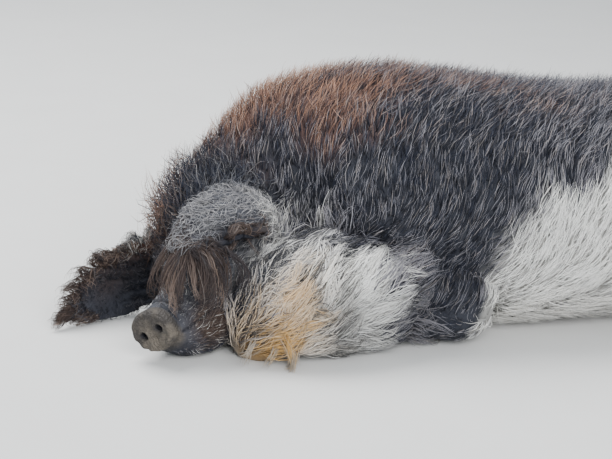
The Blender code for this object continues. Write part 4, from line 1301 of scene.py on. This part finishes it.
def trunk_coat(ground, settings, material):
    """Dense coat of trunk, thighs and elbows, rougher on the crest and longer where it is pale."""
    draw = np.random.default_rng(SEEDS["trunk"])
    count = settings.trunk_tufts

    def high_limbs(places, labels):
        return np.where(labels == PARTS.index("trunk"), 1.0, upper_share(places))

    roots, normals, uv, labels = ground.sow(("trunk",) + tuple(LEGS), count, draw, high_limbs)
    crest = ease(0.30, 0.85, normals[:, 2])
    pale = pale_share(roots)
    wild = draw.random(count) > 0.93
    length = settings.length * (1 + 0.20 * crest + 0.45 * pale) * draw.uniform(0.7, 1.2, count)
    stand = (0.018 + 0.017 * crest + 0.004 * pale) * draw.uniform(0.7, 1.2, count) * (1 + 0.35 * wild)
    stray = 0.20 + 0.35 * crest + 0.5 * wild
    lines, ups = combed(ground, roots, normals, labels, 3, length, stand, stray, draw)
    lines = gathered(lines, 9, 0.30 + 0.25 * draw.random((count, 1, 1)), draw)
    lines = curled(lines, ups, 0.0014 + 0.0030 * crest + 0.0014 * pale, draw.uniform(0.3, 0.8, count), draw)
    tone = draw.random(count)
    # Pale hair is made paler, and darker low down by the floor as painted shade.
    tone = tone + pale * ((1 - tone) * 0.75 - 0.50 * ease(0.11, 0.03, roots[:, 2]))
    width = settings.width * draw.uniform(0.7, 1.3, count) * (0.66 - 0.14 * (tone > 0.6) + 0.30 * pale)
    lay_coat("coat_trunk", lines, ups, roots, width, uv, draw, material, np.clip(tone, 0, 1))


def ruff_coat(ground, settings, material):
    """Long wavy hair of the ruff, in pale and shaded columns."""
    draw = np.random.default_rng(SEEDS["ruff"])
    count = settings.ruff_tufts
    roots, normals, uv, labels = ground.sow(("ruff",), count, draw)
    length = 0.082 * draw.uniform(0.6, 1.25, count)
    stand = 0.021 * draw.uniform(0.4, 1.4, count)
    lines, ups = combed(ground, roots, normals, labels, 6, length, stand, 0.22, draw)
    lines = gathered(lines, 20, 0.72 + 0.26 * draw.random((count, 1, 1)), draw)
    lines = curled(lines, ups, np.full(count, 0.0032), draw.uniform(0.8, 1.9, count), draw)
    width = 0.0021 * draw.uniform(0.6, 1.3, count)
    streaks = ripple(roots * np.array((1.0, 0.6, 0.30)), 0.026, 17)
    tone = np.clip(0.50 + 0.60 * streaks + draw.normal(0, 0.22, count), 0, 1)
    # Painted shade in the gaps between the pale columns, where the tone is low, and low down by the floor at
    # the rear of the ruff.
    low = ease(0.12, 0.04, roots[:, 2]) * ease(-0.40, -0.34, roots[:, 0])
    shaded = np.clip(0.80 * ease(0.52, 0.14, tone) + 0.42 * low, 0, 0.82)
    lay_coat("coat_ruff", lines, ups, roots, width, uv, draw, material, tone, dict(dark_and_shade=shaded))


def head_coat(ground, settings, material):
    """Short hair of the snout, longer over cheeks and brow."""
    draw = np.random.default_rng(SEEDS["head"])
    count = settings.head_tufts

    def denser_ahead(places, labels):
        back, left, up = head_place(places).T
        dense = 1 + (2.0 + 2.0 * ease(-0.02, -0.05, up)) * ease(0.17, 0.10, back)
        return ease(0.020, 0.05, back) * dense * (1 - blob(places, EAR_OPENING, 0.020))

    roots, normals, uv, labels = ground.sow(("head",), count, draw, denser_ahead)
    back, left, up = head_place(roots).T
    top = ease(0.03, 0.09, up) * ease(0.13, 0.20, back)
    lock = np.exp(-(((back - 0.250) / 0.075) ** 2) - ((left + 0.050) / 0.065) ** 2) * ease(0.04, 0.07, up)
    chin = ease(-0.030, -0.060, up) * ease(0.03, 0.06, back)
    far = ease(0.10, 0.26, back)
    length = 0.0065 + 0.036 * far + 0.018 * top + 0.034 * lock + 0.013 * chin
    length = length * draw.uniform(0.75, 1.2, count)
    stand = (0.0016 + 0.010 * far + 0.026 * top + 0.030 * lock + 0.005 * chin) * draw.uniform(0.5, 1.2, count)
    lines, ups = combed(ground, roots, normals, labels, 4, length, stand, 0.25 + 0.4 * top, draw)
    lines = gathered(lines, 10, 0.35 + 0.4 * draw.random((count, 1, 1)), draw)
    lines = curled(lines, ups, 0.0003 + 0.0018 * far + 0.006 * top, draw.uniform(0.6, 1.6, count), draw)
    width = (0.0008 + 0.0010 * far) * draw.uniform(0.7, 1.3, count)
    tone = draw.random(count) * (1 - 0.55 * np.maximum(top, chin))
    lay_coat("coat_head", lines, ups, roots, width, uv, draw, material, tone)


def on_ear(name, points):
    """The share of the ear's length and the place across it, -1 on the fringed rim and 1 on the other."""
    stations = [ear_station(name, n / 24) for n in range(25)]
    centres = np.array([station[0] for station in stations])
    across = np.array([station[2] for station in stations])
    halves = np.array([station[4] for station in stations])
    nearest = np.argmin(np.linalg.norm(points[:, None] - centres[None], axis=2), axis=1)
    return nearest / 24, np.sum((points - centres[nearest]) * across[nearest], axis=1) / halves[nearest]


def ear_coat(ground, settings, material):
    """Woolly hair on the backs of the ears, short hair in them."""
    draw = np.random.default_rng(SEEDS["ears"])
    count = settings.ear_tufts

    def not_in_opening(places, labels):
        return 1 - blob(places, EAR_OPENING, 0.024)

    roots, normals, uv, labels = ground.sow(("ear_left", "ear_right"), count, draw, not_in_opening)
    outer, brown, slate, pale, inner = np.zeros((5, count))
    for name in ("ear_left", "ear_right"):
        here = labels == PARTS.index(name)
        outer[here] = ease(-0.1, 0.3, normals[here] @ np.array(ear_station(name, 0.5)[3]))
        share, across = on_ear(name, roots[here])
        rim = ease(-0.35, -0.85, across + 0.15 * ripple(roots[here], 0.02, 8))
        if name == "ear_left":
            base = ease(0.36, 0.16, share)
            brown[here] = rim * (1 - base)
            slate[here] = (1 - brown[here]) * outer[here]
            pale[here] = 0.55 * base
        else:
            brown[here] = np.maximum(rim, 0.8 * ease(0.85, 0.95, share))
            pale[here] = 0.5 * ease(0.45, 0.2, share) * rim
            inner[here] = 0.72 * (1 - brown[here])
    mound = outer * slate
    length = (0.008 + 0.036 * outer) * draw.uniform(0.5, 1.4, count)
    stand = (0.0020 + 0.012 * outer) * draw.uniform(0.3, 1.5, count)
    lines, ups = combed(ground, roots, normals, labels, 5, length, stand, 1.0, draw)
    lines = gathered(lines, 14, 0.45 + 0.4 * draw.random((count, 1, 1)), draw)
    lines = curled(lines, ups, 0.0006 + 0.0050 * outer, draw.uniform(0.6, 1.5, count), draw)
    width = 0.0012 * draw.uniform(0.6, 1.3, count)
    tone = draw.random(count) * (1 - 0.6 * mound) + (0.32 + 0.22 * ripple(roots, 0.016, 19)) * mound
    marks = dict(brown=brown, slate=slate, pale=pale, rust=0.0, grizzle=0.0)
    # Darker on the right ear away from its rim, and painted shade where the skin's markings put it.
    marks["dark_and_shade"] = np.maximum(inner, painted_shade_share(roots))
    lay_coat("coat_ears", lines, ups, roots, width, uv, draw, material, np.clip(tone, 0, 1), marks)


def limb_coat(ground, settings, material):
    """Short flat hair of the lower legs and the tail."""
    draw = np.random.default_rng(SEEDS["limbs"])
    count = settings.limb_tufts
    roots, normals, uv, labels = ground.sow(tuple(LEGS) + ("tail",), count, draw,
                                            lambda places, labels: 1 - 0.9 * upper_share(places))
    length = 0.017 * draw.uniform(0.75, 1.3, count)
    stand = 0.0050 * draw.uniform(0.5, 1.3, count)
    lines, ups = combed(ground, roots, normals, labels, 3, length, stand, 0.2, draw)
    lines = gathered(lines, 6, 0.4, draw)
    width = 0.0017 * draw.uniform(0.7, 1.3, count)
    lay_coat("coat_limbs", lines, ups, roots, width, uv, draw, material)


def whiskers(ground, settings, material):
    """Stiff pale hairs on chin, lips and muzzle."""
    draw = np.random.default_rng(SEEDS["whiskers"])
    count = 110

    def mouth(places, labels):
        back, left, up = head_place(places).T
        return ease(0.02, 0.04, back) * ease(0.17, 0.13, back) * (0.15 + ease(0.0, -0.05, up))

    roots, normals, uv, labels = ground.sow(("head",), count, draw, mouth)
    length = draw.uniform(0.010, 0.024, count)
    lines, ups = combed(ground, roots, normals, labels, 4, length, length * 0.5, 0.6, draw)
    lines = curled(lines, ups, np.full(count, 0.0026), draw.uniform(0.3, 0.9, count), draw)
    marks = dict(pale=0.60, slate=0.0, dark_and_shade=0.0)
    lay_coat("whiskers", lines, ups, roots, np.full(count, 0.0006), uv, draw, material, marks=marks)


# Hair that hangs: hairs in a clump, length, how far it stands out, curl, its turns, spread, width and fall.
Hang = namedtuple("Hang", "each length stand curl turns spread width fall")
# Of each ear: the share of its length where the fringe starts, the number of clumps, and their hair.
EAR_HANGS = {
    "ear_left": (0.84, 44, Hang(24, 0.070, 0.56, 0.0038, 0.9, 0.20, 0.0013, (-0.06, -0.31, -0.95))),
    "ear_right": (0.10, 78, Hang(16, 0.023, 0.80, 0.0055, 1.9, 0.60, 0.0011, (-0.15, -0.10, -0.10))),
}
TASSEL = Hang(22, 0.042, 0.40, 0.0045, 0.8, 0.50, 0.0013, (-0.10, -0.30, -0.90))
TIP_PLACE = 0.60    # share of the fringe's clumps before the tip of the ear


def edge_spot(name, start, place):
    """A spot on the edge of an ear, the ways out of the ear and to its tip there, its face and its share."""
    past = max(0.0, (place - TIP_PLACE) / (1 - TIP_PLACE))
    share = start + (1 - start) * min(1.0, place / TIP_PLACE) - 0.22 * past
    v = -0.92 + 1.75 * past
    centre, way, across, face, half, curl = (np.array(item) for item in ear_station(name, share))
    turn = float(ease(0.30, 0.80, place))
    spot = centre + across * v * half - face * curl * v * v
    return spot, unit(way * turn - across * (1 - turn)), way, face, share


def hang(name, ground, clumps, form, draw, material, marks):
    """Clumps of long hair that leave the skin at some spots and fall clear of it."""
    rings = 7
    count = len(clumps) * form.each
    lines = np.empty((count, rings + 1, 3))
    ups = np.empty_like(lines)
    tone = np.empty(count)
    fall = unit(np.array(form.fall))
    t = np.linspace(0, 1, rings + 1)[:, None]
    for number, (spot, out, way, face) in enumerate(clumps):
        size = form.length * draw.uniform(0.50, 1.20)
        lean = form.stand * draw.uniform(0.5, 1.4)
        bow = 0.30 * (number / len(clumps) - 0.25) + draw.normal(0, 0.09)
        drift = way * draw.normal(0, form.spread) + face * draw.uniform(0.0, 0.30)
        middle = out * lean * np.sin(t * 2.3) + fall * t ** 1.6 + drift * t ** 1.3
        middle = middle + way * bow * np.sin(math.pi * t)
        shade = draw.uniform(0.60, 1.0) if draw.random() < 0.30 else draw.uniform(0.0, 0.25)
        rows = slice(number * form.each, (number + 1) * form.each)
        apart = draw.normal(0, 1, (form.each, 1, 3)) * (0.0038 - 0.0030 * t)
        frayed = draw.normal(0, 1, (form.each, 1, 3)) * 0.0018 * t
        lines[rows] = spot + (apart + frayed) + size * draw.uniform(0.70, 1.12, (form.each, 1, 1)) * middle
        ups[rows] = face
        tone[rows] = np.clip(shade + draw.normal(0, 0.10, form.each), 0, 1)
    curl = form.curl * draw.uniform(0.4, 1.3, count)
    lines = curled(lines, ups, curl, form.turns * draw.uniform(0.5, 1.4, count), draw)
    free = lines[:, 2:].reshape(-1, 3)
    spots, normals = ground.nearest(free)
    depth = np.sum((free - spots) * normals, axis=1)
    lines[:, 2:] = (free + normals * np.maximum(0.0, 0.004 - depth)[:, None]).reshape(lines[:, 2:].shape)
    roots = lines[:, 0]
    width = form.width * draw.uniform(0.6, 1.3, count)
    marks = {key: np.repeat(value, form.each) if np.ndim(value) else value for key, value in marks.items()}
    lay_coat(name, lines, ups, roots, width, uv_near(ground, roots), draw, material, tone, marks)


def ear_fringes(ground, settings, material):
    """Long hair on one rim of each ear and round its tip."""
    for number, (name, (start, count, form)) in enumerate(EAR_HANGS.items()):
        draw = np.random.default_rng(SEEDS["fringes"] + number)
        edges = [edge_spot(name, start, (clump + draw.uniform(0.1, 0.9)) / count) for clump in range(count)]
        shares = np.array([edge[4] for edge in edges])
        pale = 0.0 if name == "ear_left" else 0.70 * ease(0.50, 0.20, shares)
        shaded = 0.75 * draw.random(count) ** 1.6
        marks = dict(brown=1.0 - pale, slate=0.0, pale=pale, rust=0.0, grizzle=0.0, dark_and_shade=shaded)
        hang("fringe_" + name, ground, [edge[:4] for edge in edges], form, draw, material, marks)


def throat_tassel(ground, settings, material):
    """Long stained hair that hangs from the throat onto the floor."""
    draw = np.random.default_rng(SEEDS["tassel"])

    def throat(places, labels):
        return blob(places, TASSEL_ROOT, 0.030)

    spots, normals, _, _ = ground.sow(("ruff",), 6, draw, throat)
    clumps = [(spot, normal, np.array((1.0, 0.0, 0.0)), normal) for spot, normal in zip(spots, normals)]
    hang("tassel", ground, clumps, TASSEL, draw, material, dict(pale=1.0, slate=0.0, brown=0.0, stain=1.0))


def conch_hair(ground, settings, material):
    """Curved hair over and round the opening of the left ear."""
    draw = np.random.default_rng(SEEDS["conch"])
    count, rings = 520, 6
    out = unit(np.array((-0.35, -0.80, 0.45)))
    right = unit(np.cross((0.0, 0.0, 1.0), out))
    rise = np.cross(out, right)
    t = np.linspace(0, 1, rings + 1)[None]
    angle = np.radians(draw.uniform(80, 245, (count, 1)) - draw.uniform(45, 105, (count, 1)) * t)
    reach = draw.uniform(0.021, 0.036, (count, 1)) * (1 - 0.12 * t)
    places = EAR_OPENING - EAR_DROP / 2 + right * (np.cos(angle) * reach)[..., None]
    places = places + rise * (1.35 * np.sin(angle) * reach)[..., None]
    spots, normals = ground.nearest((places + out * 0.004).reshape(-1, 3))
    stand = 0.0015 + draw.uniform(0.003, 0.011, (count, 1)) * np.sin(t * math.pi * 0.8)
    ups = normals.reshape(places.shape)
    lines = spots.reshape(places.shape) + ups * stand[..., None]
    lines = curled(lines, ups, draw.uniform(0.0008, 0.0025, count), draw.uniform(0.4, 1.0, count), draw)
    roots = lines[:, 0].copy()
    width = 0.0013 * draw.uniform(0.6, 1.3, count)
    # Painted shade round the ear's opening darkens this hair.
    marks = dict(brown=1.0, slate=0.0, pale=0.0, rust=0.0, dark_and_shade=0.40)
    lay_coat("conch_hair", lines, ups, roots, width, uv_near(ground, roots), draw, material, marks=marks)


def uv_near(ground, points):
    """The places on the map of the skin nearest to the points."""
    flat = np.empty((len(points), 2))
    for number, point in enumerate(points.tolist()):
        _, _, index, _ = ground.tree.find_nearest(point)
        flat[number] = ground.uv[index].mean(axis=0)
    return flat


# Camera: its turn from +Y, its tilt down and its roll in radians, and its place, for the photograph's view.
CAMERA_TURN = math.radians(22)
CAMERA_TILT = 0.3189
CAMERA_ROLL = 0.0579
CAMERA_PLACE = Vector((-1.5, -2.95, 1.1931))

# Lamps: name, place, breadth and share of the power.
LAMPS = (("key", (-1.2, 1.3, 3.2), 2.2, 1.0), ("fill", (-0.4, -3.4, 2.4), 2.5, 0.85))


class PIG_OT_stage(bpy.types.Operator):
    """Set up the floor, the light and the camera"""
    bl_idname = "pig.stage"
    bl_label = "Stage"

    def execute(self, context):
        settings = context.scene.pig_stage
        bm = bmesh.new()
        bmesh.ops.create_grid(bm, x_segments=1, y_segments=1, size=12.0)
        mesh = bpy.data.meshes.new("floor")
        bm.to_mesh(mesh)
        bm.free()
        tree = Tree("floor_finish")
        grain = tree.noise(6.0, 8.0)
        shade = [channel * 0.93 for channel in settings.floor]
        colour = tree.mix(grain, solid(shade), solid(settings.floor))
        mesh.materials.append(tree.finish(Base_Color=colour, Roughness=0.9))
        new_object("floor", mesh)

        world = bpy.data.worlds.new("soft")
        world.use_nodes = True
        world.node_tree.nodes["Background"].inputs["Color"].default_value = (0.86, 0.93, 1.0, 1)
        world.node_tree.nodes["Background"].inputs["Strength"].default_value = 0.80
        context.scene.world = world
        for name, place, size, share in LAMPS:
            light = bpy.data.lights.new(name, "AREA")
            light.size = size
            light.energy = settings.light * share
            lamp = bpy.data.objects.new(name, light)
            lamp.location = place
            lamp.rotation_euler = (Vector((-0.1, 0, 0.1)) - lamp.location).to_track_quat("-Z", "Y").to_euler()
            context.scene.collection.objects.link(lamp)

        ahead = Vector((math.sin(CAMERA_TURN), math.cos(CAMERA_TURN), 0))
        aside = Vector((math.cos(CAMERA_TURN), -math.sin(CAMERA_TURN), 0))
        up = Vector((0, 0, 1))
        look = ahead * math.cos(CAMERA_TILT) - up * math.sin(CAMERA_TILT)
        rise = ahead * math.sin(CAMERA_TILT) + up * math.cos(CAMERA_TILT)
        right = aside * math.cos(CAMERA_ROLL) + rise * math.sin(CAMERA_ROLL)
        high = rise * math.cos(CAMERA_ROLL) - aside * math.sin(CAMERA_ROLL)
        data = bpy.data.cameras.new("camera")
        data.lens = settings.lens
        data.sensor_width = 36.0
        camera = bpy.data.objects.new("camera", data)
        turn = Matrix((right, high, -look)).transposed().to_4x4()
        camera.matrix_world = Matrix.Translation(CAMERA_PLACE + MIDDLE) @ turn
        context.scene.collection.objects.link(camera)
        context.scene.camera = camera
        return {"FINISHED"}


class PIG_PT_panel(bpy.types.Panel):
    """The pig's pieces in the sidebar"""
    bl_label = "Mangalica pig"
    bl_idname = "PIG_PT_panel"
    bl_space_type = "VIEW_3D"
    bl_region_type = "UI"
    bl_category = "Pig"

    def draw(self, context):
        for group in (context.scene.pig_skin, context.scene.pig_coat, context.scene.pig_stage):
            box = self.layout.box()
            for name in group.__annotations__:
                box.prop(group, name)
        for operator in STEPS:
            self.layout.operator(operator.bl_idname)


STEPS = (PIG_OT_stage, PIG_OT_skin, PIG_OT_eyes, PIG_OT_claws, PIG_OT_coat)
GROUPS = {"pig_skin": PigSkinSettings, "pig_coat": PigCoatSettings, "pig_stage": PigStageSettings}


def register():
    for kind in (*GROUPS.values(), *STEPS, PIG_PT_panel):
        bpy.utils.register_class(kind)
    for name, kind in GROUPS.items():
        setattr(bpy.types.Scene, name, PointerProperty(type=kind))


def unregister():
    for name in GROUPS:
        delattr(bpy.types.Scene, name)
    for kind in (PIG_PT_panel, *reversed(STEPS), *reversed(GROUPS.values())):
        bpy.utils.unregister_class(kind)


def main():
    register()
    bpy.ops.pig.stage()
    bpy.ops.pig.skin()
    bpy.ops.pig.eyes()
    bpy.ops.pig.claws()
    bpy.ops.pig.coat()


if __name__ == "__main__":
    main()
